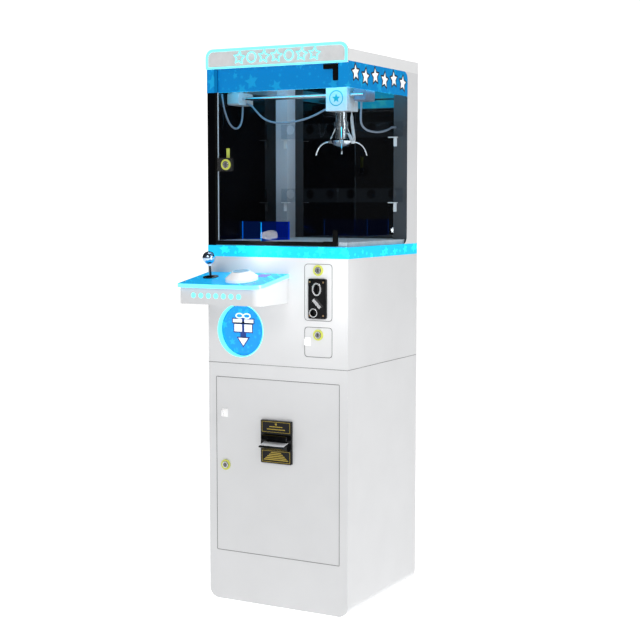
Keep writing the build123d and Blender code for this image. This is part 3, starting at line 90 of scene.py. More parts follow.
# ---- node helpers ----
class Finish:
    """A material under construction: its node tree, and short calls that add to it."""

    def __init__(self, name):
        self.material = bpy.data.materials.new(name)
        self.material.use_nodes = True
        self.tree = self.material.node_tree
        self.shader = self.tree.nodes["Principled BSDF"]
        self.output = self.tree.nodes["Material Output"]
        coordinates = self.tree.nodes.new("ShaderNodeTexCoord")
        self.place = coordinates.outputs["Object"]

    def node(self, kind, **settings):
        made = self.tree.nodes.new(kind)
        for key, value in settings.items():
            setattr(made, key, value)
        return made

    def link(self, source, target):
        self.tree.links.new(source, target)

    def math(self, operation, first, second=0.0, clamp=False):
        made = self.node("ShaderNodeMath", operation=operation, use_clamp=clamp)
        for socket, value in zip(made.inputs, (first, second)):
            if isinstance(value, (int, float)):
                socket.default_value = value
            else:
                self.link(value, socket)
        return made.outputs[0]

    def axes(self):
        split = self.node("ShaderNodeSeparateXYZ")
        self.link(self.place, split.inputs[0])
        return split.outputs["X"], split.outputs["Y"], split.outputs["Z"]

    def noise(self, scale, detail=3.0, roughness=0.5, stretch=None):
        made = self.node("ShaderNodeTexNoise")
        made.inputs["Scale"].default_value = scale
        made.inputs["Detail"].default_value = detail
        made.inputs["Roughness"].default_value = roughness
        source = self.place
        if stretch:
            mapping = self.node("ShaderNodeMapping")
            mapping.inputs["Scale"].default_value = stretch
            self.link(self.place, mapping.inputs["Vector"])
            source = mapping.outputs[0]
        self.link(source, made.inputs["Vector"])
        return made.outputs["Fac"]

    def ramp(self, factor, low, high, start=0.3, end=0.7):
        made = self.node("ShaderNodeValToRGB")
        elements = made.color_ramp.elements
        elements[0].position = start
        elements[1].position = end
        elements[0].color = (*low, 1)
        elements[1].color = (*high, 1)
        self.link(factor, made.inputs[0])
        return made.outputs[0]

    def mix(self, factor, low, high):
        made = self.node("ShaderNodeMix", data_type="RGBA")
        for index, value in ((0, factor), (6, low), (7, high)):
            socket = made.inputs[index]
            if isinstance(value, (int, float)):
                socket.default_value = value
            elif isinstance(value, tuple):
                socket.default_value = (*value, 1)
            else:
                self.link(value, socket)
        return made.outputs[2]

    def colour(self, source):
        self.link(source, self.shader.inputs["Base Color"])

    def glow(self, source, strength):
        self.link(source, self.shader.inputs["Emission Color"])
        self.shader.inputs["Emission Strength"].default_value = strength

    def set(self, **values):
        names = {
            "rough": "Roughness",
            "metal": "Metallic",
            "coat": "Coat Weight",
            "coat_rough": "Coat Roughness",
            "ior": "IOR",
            "sheen": "Sheen Weight",
        }
        for key, value in values.items():
            self.shader.inputs[names[key]].default_value = value

    def rough_map(self, factor, low, high):
        made = self.node("ShaderNodeMapRange")
        made.inputs["To Min"].default_value = low
        made.inputs["To Max"].default_value = high
        self.link(factor, made.inputs["Value"])
        self.link(made.outputs[0], self.shader.inputs["Roughness"])

    def bump(self, factor, strength, distance=0.0005):
        made = self.node("ShaderNodeBump")
        made.inputs["Strength"].default_value = strength
        made.inputs["Distance"].default_value = distance
        self.link(factor, made.inputs["Height"])
        self.link(made.outputs[0], self.shader.inputs["Normal"])

    def below(self, value, limit, soft=0.0006):
        """1 where value is under limit, 0 above, with a narrow soft edge."""
        made = self.node("ShaderNodeMapRange")
        self.link(value, made.inputs["Value"])
        if isinstance(limit, (int, float)):
            made.inputs["From Min"].default_value = limit - soft
            made.inputs["From Max"].default_value = limit + soft
        else:
            self.link(self.math("SUBTRACT", limit, soft), made.inputs["From Min"])
            self.link(self.math("ADD", limit, soft), made.inputs["From Max"])
        made.inputs["To Min"].default_value = 1.0
        made.inputs["To Max"].default_value = 0.0
        return made.outputs[0]

    def stars(self, across, up, scale, small, large, shift=0.0):
        """A mask of scattered five-pointed stars of random size and turn."""
        join = self.node("ShaderNodeCombineXYZ")
        self.link(self.math("ADD", across, shift), join.inputs[0])
        self.link(up, join.inputs[1])
        cells = self.node("ShaderNodeTexVoronoi", voronoi_dimensions="2D")
        cells.inputs["Scale"].default_value = scale
        cells.inputs["Randomness"].default_value = 0.8
        self.link(join.outputs[0], cells.inputs["Vector"])
        away = self.node("ShaderNodeVectorMath", operation="SUBTRACT")
        self.link(join.outputs[0], away.inputs[0])
        self.link(cells.outputs["Position"], away.inputs[1])
        parts = self.node("ShaderNodeSeparateXYZ")
        self.link(away.outputs[0], parts.inputs[0])
        tint = self.node("ShaderNodeSeparateColor")
        self.link(cells.outputs["Color"], tint.inputs[0])
        length = self.node("ShaderNodeVectorMath", operation="LENGTH")
        self.link(away.outputs[0], length.inputs[0])
        angle = self.math("ARCTAN2", parts.outputs[0], parts.outputs[1])
        angle = self.math("ADD", angle, self.math("MULTIPLY", tint.outputs[0], 0.7))
        step = 2 * math.pi / 5
        fold = self.math("PINGPONG", angle, step / 2)
        slant = self.math("MULTIPLY", self.math("SINE", fold), 2.4)
        edge = self.math("ADD", self.math("COSINE", fold), slant)
        reach = self.math("MULTIPLY", length.outputs["Value"], edge)
        size = self.math("ADD", self.math("MULTIPLY", tint.outputs[1], large - small), small)
        return self.below(reach, size, 0.0004)


# ---- finishes ----
def powder_coat(name, colour, rough=0.42):
    """Sprayed sheet metal: a fine orange peel, with slight cloudiness."""
    made = Finish(name)
    darker = tuple(c * 0.965 for c in colour)
    made.colour(made.ramp(made.noise(7, 4), darker, colour))
    made.rough_map(made.noise(90, 3), rough - 0.06, rough + 0.06)
    made.bump(made.noise(950, 2), 0.10, 0.0003)
    made.set(coat=0.15, coat_rough=0.25)
    return made.material


def plastic(name, colour, rough=0.3, grain=0.08, coat=0.0, glow=0.0, ior=1.5):
    """Moulded or painted plastic with a fine grain, which may glow in its own colour."""
    made = Finish(name)
    made.set(ior=ior)
    lighter = tuple(min(1.0, c * 1.12 + 0.004) for c in colour)
    tone = made.ramp(made.noise(40, 4), colour, lighter)
    made.colour(tone)
    made.rough_map(made.noise(260, 2), rough - 0.05, rough + 0.05)
    made.bump(made.noise(1600, 2), grain, 0.0002)
    made.set(coat=coat, coat_rough=0.08)
    if glow:
        made.glow(tone, glow)
    return made.material


def brushed(name, colour, rough=0.28, stretch=(3, 300, 300)):
    """Metal with long fine scratches; stretch says which way they run."""
    made = Finish(name)
    lines = made.noise(6, 5, 0.6, stretch)
    made.colour(made.ramp(lines, tuple(c * 0.86 for c in colour), colour))
    made.rough_map(lines, rough - 0.08, rough + 0.1)
    made.bump(lines, 0.06, 0.0002)
    made.set(metal=1.0)
    return made.material


def chrome(name):
    """Plated metal, slightly smudged."""
    made = Finish(name)
    colour = (0.86, 0.87, 0.89)
    smudge = made.noise(70, 5)
    made.colour(made.ramp(smudge, tuple(c * 0.93 for c in colour), colour))
    made.rough_map(smudge, 0.16, 0.16 + 0.08)
    made.set(metal=1.0)
    return made.material


def pane(name, tint, mirror=0.012, rough=0.01, edge=None):
    """Thin glass or acrylic: see-through in its tint, with a faint even mirror on its surface; an edge tint,
    when given, adds a faint painted glow over the whole sheet.
    """
    made = Finish(name)
    through = made.node("ShaderNodeBsdfTransparent")
    speck = made.noise(3, 2)
    made.link(made.ramp(speck, tuple(c * 0.97 for c in tint), tint), through.inputs["Color"])
    gloss = made.node("ShaderNodeBsdfGlossy")
    gloss.inputs["Roughness"].default_value = rough
    sheet = made.node("ShaderNodeMixShader")
    sheet.inputs[0].default_value = mirror
    made.link(through.outputs[0], sheet.inputs[1])
    made.link(gloss.outputs[0], sheet.inputs[2])
    result = sheet.outputs[0]
    # painted light: the edge tint glows evenly over the sheet
    if edge:
        light = made.node("ShaderNodeEmission")
        light.inputs["Color"].default_value = (*edge, 1)
        light.inputs["Strength"].default_value = 1.0
        add = made.node("ShaderNodeAddShader")
        made.link(result, add.inputs[0])
        made.link(light.outputs[0], add.inputs[1])
        result = add.outputs[0]
    made.tree.nodes.remove(made.shader)
    made.link(result, made.output.inputs["Surface"])
    return made.material


def star_print(name, ground, star, glow, scale, small, large, rough=0.25):
    """Acrylic printed with pale stars, lit from behind."""
    made = Finish(name)
    x, y, z = made.axes()
    across = made.math("ADD", x, y)
    mask = made.stars(across, z, scale, small, large)
    fine = made.stars(across, z, scale * 2.1, small * 0.4, large * 0.45, 3.3)
    both = made.math("MAXIMUM", mask, made.math("MULTIPLY", fine, 0.7))
    base = made.ramp(made.noise(2.2, 2), tuple(c * 0.94 for c in ground), ground)
    tone = made.mix(both, base, star)
    made.colour(tone)
    made.glow(tone, glow)
    made.set(rough=rough, coat=0.15, coat_rough=0.1, ior=1.35)
    return made.material


def two_sided_print():
    """The upper band: a deep blue print outside, and a bright cyan back whose strong glow is painted light,
    standing in for the lamps that shine on it inside.
    """
    made = Finish("upper_band_print")
    x, y, z = made.axes()
    across = made.math("ADD", x, y)
    mask = made.stars(across, z, 13, 0.010, 0.030)
    fine = made.stars(across, z, 34, 0.002, 0.009, 3.3)
    both = made.math("MAXIMUM", mask, made.math("MULTIPLY", fine, 0.7))
    outside = made.mix(both, (0.002, 0.235, 0.595), (0.008, 0.34, 0.68))
    inside = made.mix(both, (0.016, 0.60, 1.0), (0.06, 0.80, 1.0))
    limit = RIGHT - 0.001
    side_outer = made.math("GREATER_THAN", made.math("ABSOLUTE", x), limit)
    front_outer = made.below(y, FRONT + 0.0085, 0.0003)
    outer = made.math("MAXIMUM", side_outer, front_outer, clamp=True)
    tone = made.mix(outer, inside, outside)
    made.colour(tone)
    made.link(tone, made.shader.inputs["Emission Color"])
    # painted light: the inside face glows far stronger than the outside, in place of the lamplight on its
    # back
    power = made.node("ShaderNodeMapRange")
    power.inputs["To Min"].default_value = 4.2
    power.inputs["To Max"].default_value = 0.22
    made.link(outer, power.inputs["Value"])
    made.link(power.outputs[0], made.shader.inputs["Emission Strength"])
    made.set(rough=0.2, coat=0.5, coat_rough=0.05)
    return made.material


def lock_finish(name, joint):
    """A chromed barrel in a pale yellow ring."""
    made = Finish(name)
    centre = JOINTS[joint]["pos_m"]
    x, _, z = made.axes()
    across = made.math("SUBTRACT", x, centre[0])
    up = made.math("SUBTRACT", z, centre[2])
    far = made.math("SQRT", made.math("ADD", made.math("POWER", across, 2.0), made.math("POWER", up, 2.0)))
    core = made.below(far, 0.0125, 0.0004)
    steel = made.ramp(made.noise(300, 3), (0.17, 0.17, 0.18), (0.24, 0.24, 0.25))
    made.colour(made.mix(core, (0.62, 0.66, 0.10), steel))
    made.link(made.math("MULTIPLY", core, 0.45), made.shader.inputs["Metallic"])
    made.rough_map(core, 0.35, 0.3)
    return made.material


def door_finish():
    """Door paint, with the padlock tabs that stand proud of it in a brighter white with a faint glow, a
    painted highlight.
    """
    made = Finish("door_coat")
    _, y, _ = made.axes()
    tab = made.below(y, FRONT - 0.0004, 0.0002)
    paint = made.ramp(made.noise(7, 4), (0.675, 0.68, 0.69), (0.70, 0.705, 0.715))
    # painted highlight: the proud tabs are brighter than the door's paint and glow faintly white
    made.colour(made.mix(tab, paint, (0.90, 0.90, 0.90)))
    made.link(made.math("MULTIPLY", tab, 0.06), made.shader.inputs["Emission Strength"])
    made.shader.inputs["Emission Color"].default_value = (1, 1, 1, 1)
    made.rough_map(made.noise(90, 3), 0.36, 0.48)
    made.bump(made.noise(950, 2), 0.10, 0.0003)
    made.set(coat=0.15, coat_rough=0.25)
    return made.material


def fitting_finish():
    """Black edge strips of the glass door, painted blue where they cross the printed band."""
    made = Finish("fitting_black")
    x, _, z = made.axes()
    over_band = made.math("MULTIPLY", made.below(x, -0.05), made.math("GREATER_THAN", z, FASCIA_BOTTOM))
    black = made.ramp(made.noise(60, 3), (0.003, 0.003, 0.003), (0.006, 0.006, 0.006))
    made.colour(made.mix(over_band, black, (0.0015, 0.155, 0.40)))
    made.rough_map(made.noise(220, 2), 0.12, 0.2)
    made.link(made.math("MULTIPLY", over_band, 0.15), made.shader.inputs["Emission Strength"])
    made.shader.inputs["Emission Color"].default_value = (0.002, 0.235, 0.595, 1)
    made.set(ior=1.3)
    return made.material


def frame_finish():
    """The rear frame: cabinet paint outside; inside, painted shade towards its foot, a pale painted
    highlight towards its top, and painted shade on the right.
    """
    made = Finish("frame_coat")
    x, y, z = made.axes()
    # painted light inside: painted shade at the foot rising to a pale blue-white painted highlight at the
    # top, and painted shade over the right-hand part
    rise = made.node("ShaderNodeMapRange")
    made.link(z, rise.inputs["Value"])
    rise.inputs["From Min"].default_value = BAND_TOP + 0.05
    rise.inputs["From Max"].default_value = WINDOW_TOP - 0.1
    left = made.mix(rise.outputs[0], (0.34, 0.35, 0.37), (0.80, 0.84, 0.92))
    tone = made.mix(made.math("GREATER_THAN", x, 0.1), left, (0.055, 0.058, 0.065))
    side = made.math("GREATER_THAN", made.math("ABSOLUTE", x), RIGHT - 0.0004)
    back = made.math("GREATER_THAN", y, -FRONT - 0.0018)
    outside = made.math("MAXIMUM", side, back)
    paint = made.ramp(made.noise(7, 4), (0.70, 0.705, 0.715), (0.72, 0.725, 0.735))
    made.colour(made.mix(outside, tone, paint))
    made.rough_map(made.noise(90, 3), 0.36, 0.48)
    made.bump(made.noise(950, 2), 0.10, 0.0003)
    return made.material


def truck_finish():
    """Bridge trucks: white on the left, and blue-grey where the motor sits on the right."""
    made = Finish("truck_shell")
    x, _, _ = made.axes()
    speckle = made.noise(60, 3)
    white = made.ramp(speckle, (0.50, 0.50, 0.51), (0.56, 0.56, 0.57))
    grey = made.ramp(speckle, (0.13, 0.16, 0.22), (0.17, 0.20, 0.27))
    made.colour(made.mix(made.math("GREATER_THAN", x, 0.0), white, grey))
    made.rough_map(speckle, 0.3, 0.42)
    return made.material


def floor_board():
    """The playfield's pale quilted vinyl."""
    made = Finish("playfield_vinyl")
    x, y, _ = made.axes()
    rows = made.math("ABSOLUTE", made.math("SINE", made.math("MULTIPLY", made.math("ADD", x, y), 150)))
    cross = made.math("ABSOLUTE", made.math("SINE", made.math("MULTIPLY", made.math("SUBTRACT", x, y), 150)))
    quilt = made.math("MINIMUM", rows, cross)
    made.colour(made.ramp(made.noise(25, 4), (0.50, 0.53, 0.56), (0.62, 0.65, 0.68)))
    made.bump(quilt, 0.35, 0.0015)
    made.set(rough=0.55, sheen=0.1)
    return made.material


def joystick_metal():
    """A polished ball on a dark shaft; the ball's blue tint is a painted reflection."""
    made = Finish("joystick_metal")
    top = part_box("joystick_lever")[1][2]
    _, _, z = made.axes()
    shaft = made.below(z, top - 0.045, 0.0005)
    smudge = made.noise(60, 4)
    # painted reflection: the ball's colour is tinted blue for the blue light it mirrors
    ball = made.ramp(smudge, (0.42, 0.60, 0.86), (0.56, 0.72, 0.92))
    made.colour(made.mix(shaft, ball, (0.05, 0.055, 0.06)))
    made.rough_map(smudge, 0.14, 0.22)
    made.set(metal=1.0)
    return made.material


def rubber(name, colour):
    """Matt cable jacket; the same matt finish makes the painted gap shadow."""
    made = Finish(name)
    made.colour(made.ramp(made.noise(120, 3), colour, tuple(min(1, c * 1.25 + 0.01) for c in colour)))
    made.rough_map(made.noise(400, 2), 0.4, 0.55)
    made.bump(made.noise(900, 2), 0.1, 0.0002)
    return made.material


def dark_mirror(name, ior):
    """Black glass, polished enough to mirror what stands before it."""
    made = Finish(name)
    made.colour(made.ramp(made.noise(4, 3), (0.001, 0.001, 0.0015), (0.003, 0.003, 0.004)))
    made.rough_map(made.noise(30, 3), 0.01, 0.035)
    made.set(ior=ior)
    return made.material


def circuit():
    """Green board with lighter tracks."""
    made = Finish("circuit_and_supply")
    tracks = made.noise(160, 1, 0.5, (1, 8, 1))
    made.colour(made.ramp(tracks, (0.02, 0.14, 0.05), (0.10, 0.26, 0.10), 0.48, 0.52))
    made.rough_map(tracks, 0.35, 0.5)
    made.bump(tracks, 0.3, 0.0003)
    return made.material


def assign(node, material):
    """Gives a CAD node one finish."""
    piece = NODES[node]
    piece.data.materials.clear()
    piece.data.materials.append(material)


def finish_nodes():
    """Gives every CAD node its finish, and returns the finishes that added pieces share."""
    grey = powder_coat("cabinet_coat", (0.72, 0.725, 0.735))
    white = powder_coat("white_coat", (0.86, 0.865, 0.87), 0.35)
    inner = powder_coat("inner_coat", (0.36, 0.38, 0.41), 0.5)
    zinc = brushed("zinc_plate", (0.60, 0.61, 0.63), 0.32, (250, 4, 250))
    black_gloss = plastic("black_gloss", (0.0015, 0.0015, 0.002), 0.14, 0.03, 0.0, 0.0, 1.3)
    black_matt = plastic("black_matt", (0.010, 0.010, 0.011), 0.5, 0.3)
    bright = chrome("chrome")
    lower = star_print("lower_band_print", (0.009, 0.49, 0.79), (0.018, 0.72, 0.86), 0.60, 14, 0.008, 0.028)
    deck = star_print("deck_print", (0.004, 0.40, 0.80), (0.012, 0.62, 0.92), 0.58, 15, 0.006, 0.022, 0.45)
    prize = star_print("prize_print", (0.007, 0.26, 0.72), (0.012, 0.36, 0.80), 0.52, 20, 0.005, 0.018)
    lit = plastic("lit_edge", (0.16, 0.86, 0.90), 0.3, 0.02, 0.3, 0.75)
    steel = brushed("ground_rod", (0.66, 0.68, 0.70), 0.16, (2, 200, 200))
    finishes = {
        grey: ["base_pan", "base_cabinet", "mid_cabinet", "console_body"],
        door_finish(): ["base_door", "coin_door", "cash_door"],
        white: ["hanger_brackets", "roof_box"],
        inner: ["prize_chute", "cash_box"],
        zinc: ["side_rails", "pivot_pins", "joystick_gimbal"],
        black_gloss: ["bill_acceptor", "coin_housing", "coin_faceplate", "joystick_ring"],
        black_matt: ["power_inlet"],
        fitting_finish(): ["glass_fittings"],
        frame_finish(): ["rear_frame"],
        truck_finish(): ["bridge_trucks"],
        bright: ["claw_coil", "claw_plunger", "coin_return_lever", "console_screws"],
        lower: ["lower_band"],
        lit: ["outlet_ring"],
        deck: ["console_plate"],
        prize: ["prize_flap"],
        steel: ["bridge_rods", "bridge_axle", "hoist_cord"],
        two_sided_print(): ["upper_band"],
        joystick_metal(): ["joystick_lever"],
        floor_board(): ["playfield_floor"],
        dark_mirror("dark_mirror", 1.75): ["rear_mirror"],
        dark_mirror("smoked_glass", 1.2): ["left_glass"],
        circuit(): ["electronics_tray"],
        pane("clear_glass", (0.96, 0.985, 1.0)): ["glass_door", "right_glass"],
        pane("clear_acrylic", (0.92, 0.94, 0.96), 0.03, 0.03, (0.0015, 0.002, 0.0025)): ["hanger_plates"],
        pane("blue_acrylic", (0.02, 0.30, 0.85), 0.02, 0.02, (0.0, 0.004, 0.022)): ["chute_guards"],
        pane("smoky_plate", (0.22, 0.23, 0.25), 0.10, 0.25, (0.012, 0.012, 0.012)): ["glass_lock_plate"],
        plastic("carriage_shell", (0.62, 0.62, 0.63), 0.28, 0.04, 0.1): ["carriage_housing"],
        plastic("drum_nylon", (0.70, 0.70, 0.68), 0.4): ["hoist_drum"],
        plastic("header_panel", (0.60, 0.61, 0.62), 0.3, 0.03, 0.3, 0.10): ["header_sign"],
        plastic("button_shell", (0.92, 0.93, 0.95), 0.22, 0.03, 0.5, 0.18): ["button_housing"],
        plastic("button_cap", (0.42, 0.50, 0.62), 0.25, 0.03, 0.4): ["push_button"],
        plastic("display_face", (0.085, 0.035, 0.60), 0.5, 0.01, 0.0, 1.1): ["display_window"],
    }
    for material, names in finishes.items():
        for name in names:
            assign(name, material)
    for lock in LOCKS:
        assign(lock, lock_finish(f"{lock}_metal", f"{lock}_turn"))
    for finger in ("front", "right", "left"):
        assign(f"claw_finger_{finger}", bright)
    return {"lit": lit, "chrome": bright}


# ---- mesh and curve pieces ----
def place(origin, across, up):
    """A matrix that takes flat shapes to a surface: local X runs across, local Y up, local Z outwards."""
    across, up = Vector(across).normalized(), Vector(up).normalized()
    out = across.cross(up)
    matrix = Matrix((across, up, out)).transposed().to_4x4()
    matrix.translation = Vector(origin)
    return matrix


def flat_piece(name, outlines, thickness, matrix, material, body, bevel=0.0):
    """One object of flat shapes raised from a surface."""
    mesh = bmesh.new()
    for outline in outlines:
        low = [mesh.verts.new((x, y, 0)) for x, y in outline]
        high = [mesh.verts.new((x, y, thickness)) for x, y in outline]
        mesh.faces.new(high)
        mesh.faces.new(list(reversed(low)))
        for index in range(len(outline)):
            after = (index + 1) % len(outline)
            mesh.faces.new((low[index], low[after], high[after], high[index]))
    bmesh.ops.recalc_face_normals(mesh, faces=mesh.faces)
    mesh.transform(matrix)
    return add_mesh(name, mesh, material, body, bevel)


def add_mesh(name, mesh, material, body, bevel=0.0):
    """Turns a finished mesh into a piece that rides on a body."""
    data = bpy.data.meshes.new(name)
    mesh.to_mesh(data)
    mesh.free()
    piece = bpy.data.objects.new(name, data)
    bpy.context.scene.collection.objects.link(piece)
    data.materials.append(material)
    if bevel:
        rounding = piece.modifiers.new("rounding", "BEVEL")
        rounding.width = bevel
        rounding.segments = 2
        rounding.limit_method = "ANGLE"
    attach(piece, body)
    return piece


def curve_piece(name, lines, radius, material, body, closed=True):
    """Round tubing along one or more lines of points."""
    data = bpy.data.curves.new(name, "CURVE")
    data.dimensions = "3D"
    data.bevel_depth = radius
    data.bevel_resolution = 3
    for line in lines:
        spline = data.splines.new("POLY")
        spline.points.add(len(line) - 1)
        for point, where in zip(spline.points, line):
            point.co = (*where, 1)
        spline.use_cyclic_u = closed
    data.materials.append(material)
    piece = bpy.data.objects.new(name, data)
    bpy.context.scene.collection.objects.link(piece)
    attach(piece, body)
    return piece


def star(x, y, outer, inner=0.45, turn=0.0):
    """A five-pointed star; inner is the share of its reach at the notches."""
    points = []
    for step in range(10):
        angle = math.pi / 2 + turn + step * math.pi / 5
        reach = outer if step % 2 == 0 else outer * inner
        points.append((x + reach * math.cos(angle), y + reach * math.sin(angle)))
    return points


def ellipse(x, y, wide, tall, count=40):
    steps = [2 * math.pi * step / count for step in range(count)]
    return [(x + wide * math.cos(angle), y + tall * math.sin(angle)) for angle in steps]


def rectangle(x0, x1, y0, y1):
    return [(x0, y0), (x1, y0), (x1, y1), (x0, y1)]


def rounded(x0, x1, y0, y1, low_radius, high_radius, steps=10):
    """A rectangle with round corners, its lower and upper corners apart."""
    points = []
    corners = (
        (x1, y0, -90, low_radius, -1, 1),
        (x1, y1, 0, high_radius, -1, -1),
        (x0, y1, 90, high_radius, 1, -1),
        (x0, y0, 180, low_radius, 1, 1),
    )
    for x, y, start, radius, dx, dy in corners:
        for step in range(steps + 1):
            angle = math.radians(start + 90 * step / steps)
            cx, cy = x + dx * radius, y + dy * radius
            points.append((cx + radius * math.cos(angle), cy + radius * math.sin(angle)))
    return points


def to_space(points, matrix, lift=0.0):
    """Flat points as points in the room."""
    return [tuple(matrix @ Vector((x, y, lift))) for x, y in points]


def join_rows(mesh, rows):
    """Faces between each closed row of points and the next, and from the last back to the first."""
    count = len(rows[0])
    for row, other in zip(rows, rows[1:] + rows[:1]):
        for index in range(count):
            after = (index + 1) % count
            mesh.faces.new((row[index], row[after], other[after], other[index]))


def ring_piece(name, outer, inner, thickness, matrix, material, body):
    """A flat ring between two outlines of the same number of points."""
    mesh = bmesh.new()
    rows = []
    for outline, height in ((outer, 0), (outer, thickness), (inner, thickness), (inner, 0)):
        rows.append([mesh.verts.new((x, y, height)) for x, y in outline])
    join_rows(mesh, rows)
    bmesh.ops.recalc_face_normals(mesh, faces=mesh.faces)
    mesh.transform(matrix)
    return add_mesh(name, mesh, material, body, 0.0003)


# ---- header sign ----
def header_light():
    """A lit border and a row of lit stars and circles on the header sign."""
    low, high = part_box("header_sign")
    face = place((0, low[1], 0), (1, 0, 0), (0, 0, 1))
    neon = plastic("neon_tube", (0.16, 0.85, 0.88), 0.3, 0.01, 0.2, 0.85)
    lift = 0.0021
    first, spacing = -0.140, 0.049
    outer = rounded(low[0], high[0], low[2], high[2], 0.004, 0.029)
    inner = rounded(low[0] + 0.009, high[0] - 0.009, low[2] + 0.006, high[2] - 0.009, 0.004, 0.021)
    ring_piece("header_border", outer, inner, 0.0015, face, neon, "cabinet")
    middle = (low[2] + high[2]) / 2
    shapes = []
    for number in range(7):
        x = first + number * spacing
        if number % 3 == 1:
            shapes.append(ellipse(x, middle, 0.017, 0.017, 28))
        else:
            shapes.append(star(x, middle, 0.023, 0.46, -0.12))
    lines = [to_space(shape, face, lift) for shape in shapes]
    curve_piece("header_shapes", lines, 0.0019, neon, "cabinet")


# ---- printed and lit decoration ----
def side_band_stars():
    """A row of white stars with dark outlines along each side's band."""
    white = plastic("star_white", (0.86, 0.88, 0.90), 0.3, 0.02, 0.2, 0.25)
    dark = plastic("star_outline", (0.012, 0.020, 0.035), 0.35, 0.02)
    middle = (FASCIA_BOTTOM + WINDOW_TOP) / 2 + 0.004
    for side, name in ((1, "right"), (-1, "left")):
        face = place((side * RIGHT, 0, 0), (0, side, 0), (0, 0, 1))
        shapes = []
        backs = []
        for number in range(6):
            along = -0.225 + number * 0.074
            tilt = 0.10 * (-1) ** number
            height = middle + 0.004 * (-1) ** number
            shapes.append(star(side * along, height, 0.026, 0.48, tilt))
            backs.append(star(side * along, height, 0.036, 0.54, tilt))
        flat_piece(f"band_outline_{name}", backs, 0.0003, face, dark, "cabinet")
        flat_piece(f"band_stars_{name}", shapes, 0.0006, face, white, "cabinet")


def console_symbols(shared):
    """A row of plain lit dots on the console's front."""
    low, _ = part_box("console_body")
    face = place((0, low[1], 0), (1, 0, 0), (0, 0, 1))
    shapes = [ellipse(-0.2165 + 0.030 * number, 1.100, 0.009, 0.009, 28) for number in range(7)]
    flat_piece("console_symbols", shapes, 0.0006, face, shared["lit"], "cabinet", 0.0002)


def deck_edge(shared):
    """The lit edge of the console's acrylic top, as a thin strip round its sides."""
    low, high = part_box("console_plate")
    thick = 0.0125
    slope = (high[2] - low[2] - thick) / (high[1] - low[1])
    out = 0.0007
    corner, nose = 0.0065, 0.037
    outline = []
    for step in range(8):
        angle = math.radians(180 + 90 * step / 7)
        x, y = low[0] + corner, low[1] + corner
        outline.append((x + corner * math.cos(angle), y + corner * math.sin(angle)))
    for step in range(19):
        angle = math.radians(270 + 90 * step / 18)
        x, y = high[0] - nose, low[1] + nose
        outline.append((x + nose * math.cos(angle), y + nose * math.sin(angle)))
    outline = [(low[0], high[1] - 0.0005)] + outline + [(high[0], high[1] - 0.0005)]
    mesh = bmesh.new()
    rows = []
    for grow, drop in ((0.0, 0.0), (out, 0.0004), (out, thick - 0.0004), (0.0, thick)):
        row = []
        for index, (x, y) in enumerate(outline):
            before = Vector(outline[max(index - 1, 0)])
            after = Vector(outline[min(index + 1, len(outline) - 1)])
            run = (after - before).normalized()
            px, py = x + run.y * grow, y - run.x * grow
            top = high[2] - (high[1] - y) * slope
            row.append(mesh.verts.new((px, py, top - drop)))
        rows.append(row)
    for row, other in zip(rows, rows[1:] + rows[:1]):
        for index in range(len(outline) - 1):
            mesh.faces.new((row[index], row[index + 1], other[index + 1], other[index]))
    for end in (0, -1):
        mesh.faces.new([row[end] for row in rows])
    bmesh.ops.recalc_face_normals(mesh, faces=mesh.faces)
    add_mesh("deck_lit_edge", mesh, shared["lit"], "cabinet")


def prize_icon():
    """A gift box and an arrow on the outlet's flap."""
    low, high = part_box("prize_flap")
    cx, cz = (low[0] + high[0]) / 2, (low[2] + high[2]) / 2
    face = place((cx, low[1], cz), (1, 0, 0), (0, 0, 1))
    white = plastic("icon_white", (0.90, 0.93, 0.97), 0.3, 0.02, 0.2, 0.3)
    navy = plastic("icon_navy", (0.01, 0.05, 0.28), 0.35, 0.02)
    back = [
        rectangle(-0.040, 0.040, -0.010, 0.030),
        rectangle(-0.046, 0.046, 0.022, 0.042),
        [(-0.028, -0.024), (0.028, -0.024), (0.0, -0.062)],
        rectangle(-0.012, 0.012, -0.027, -0.010),
    ]
    front = [
        rectangle(-0.036, -0.005, -0.006, 0.020),
        rectangle(0.005, 0.036, -0.006, 0.020),
        rectangle(-0.042, -0.005, 0.026, 0.038),
        rectangle(0.005, 0.042, 0.026, 0.038),
        [(-0.020, -0.028), (0.020, -0.028), (0.0, -0.055)],
    ]
    flat_piece("prize_icon_back", back, 0.0004, face, navy, "flap_body", 0.0002)
    flat_piece("prize_icon", front, 0.0009, face, white, "flap_body", 0.0002)
    loops = [ellipse(-0.015, 0.050, 0.014, 0.008, 24), ellipse(0.015, 0.050, 0.014, 0.008, 24)]
    lines = [to_space(loop, face, 0.001) for loop in loops]
    curve_piece("prize_icon_bow", lines, 0.0024, white, "flap_body")


def carriage_badge():
    """A plain round badge with a star on the carriage's front."""
    low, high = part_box("carriage_housing")
    cx, cz = (low[0] + high[0]) / 2, (low[2] + high[2]) / 2
    face = place((cx, low[1], cz), (1, 0, 0), (0, 0, 1))
    teal = plastic("badge_teal", (0.02, 0.34, 0.36), 0.3, 0.02)
    outer, inner = ellipse(0, 0, 0.027, 0.027), ellipse(0, 0, 0.0235, 0.0235)
    ring_piece("badge_ring", outer, inner, 0.0006, face, teal, "carriage")
    flat_piece("badge_star", [star(0, -0.001, 0.016)], 0.0006, face, teal, "carriage")


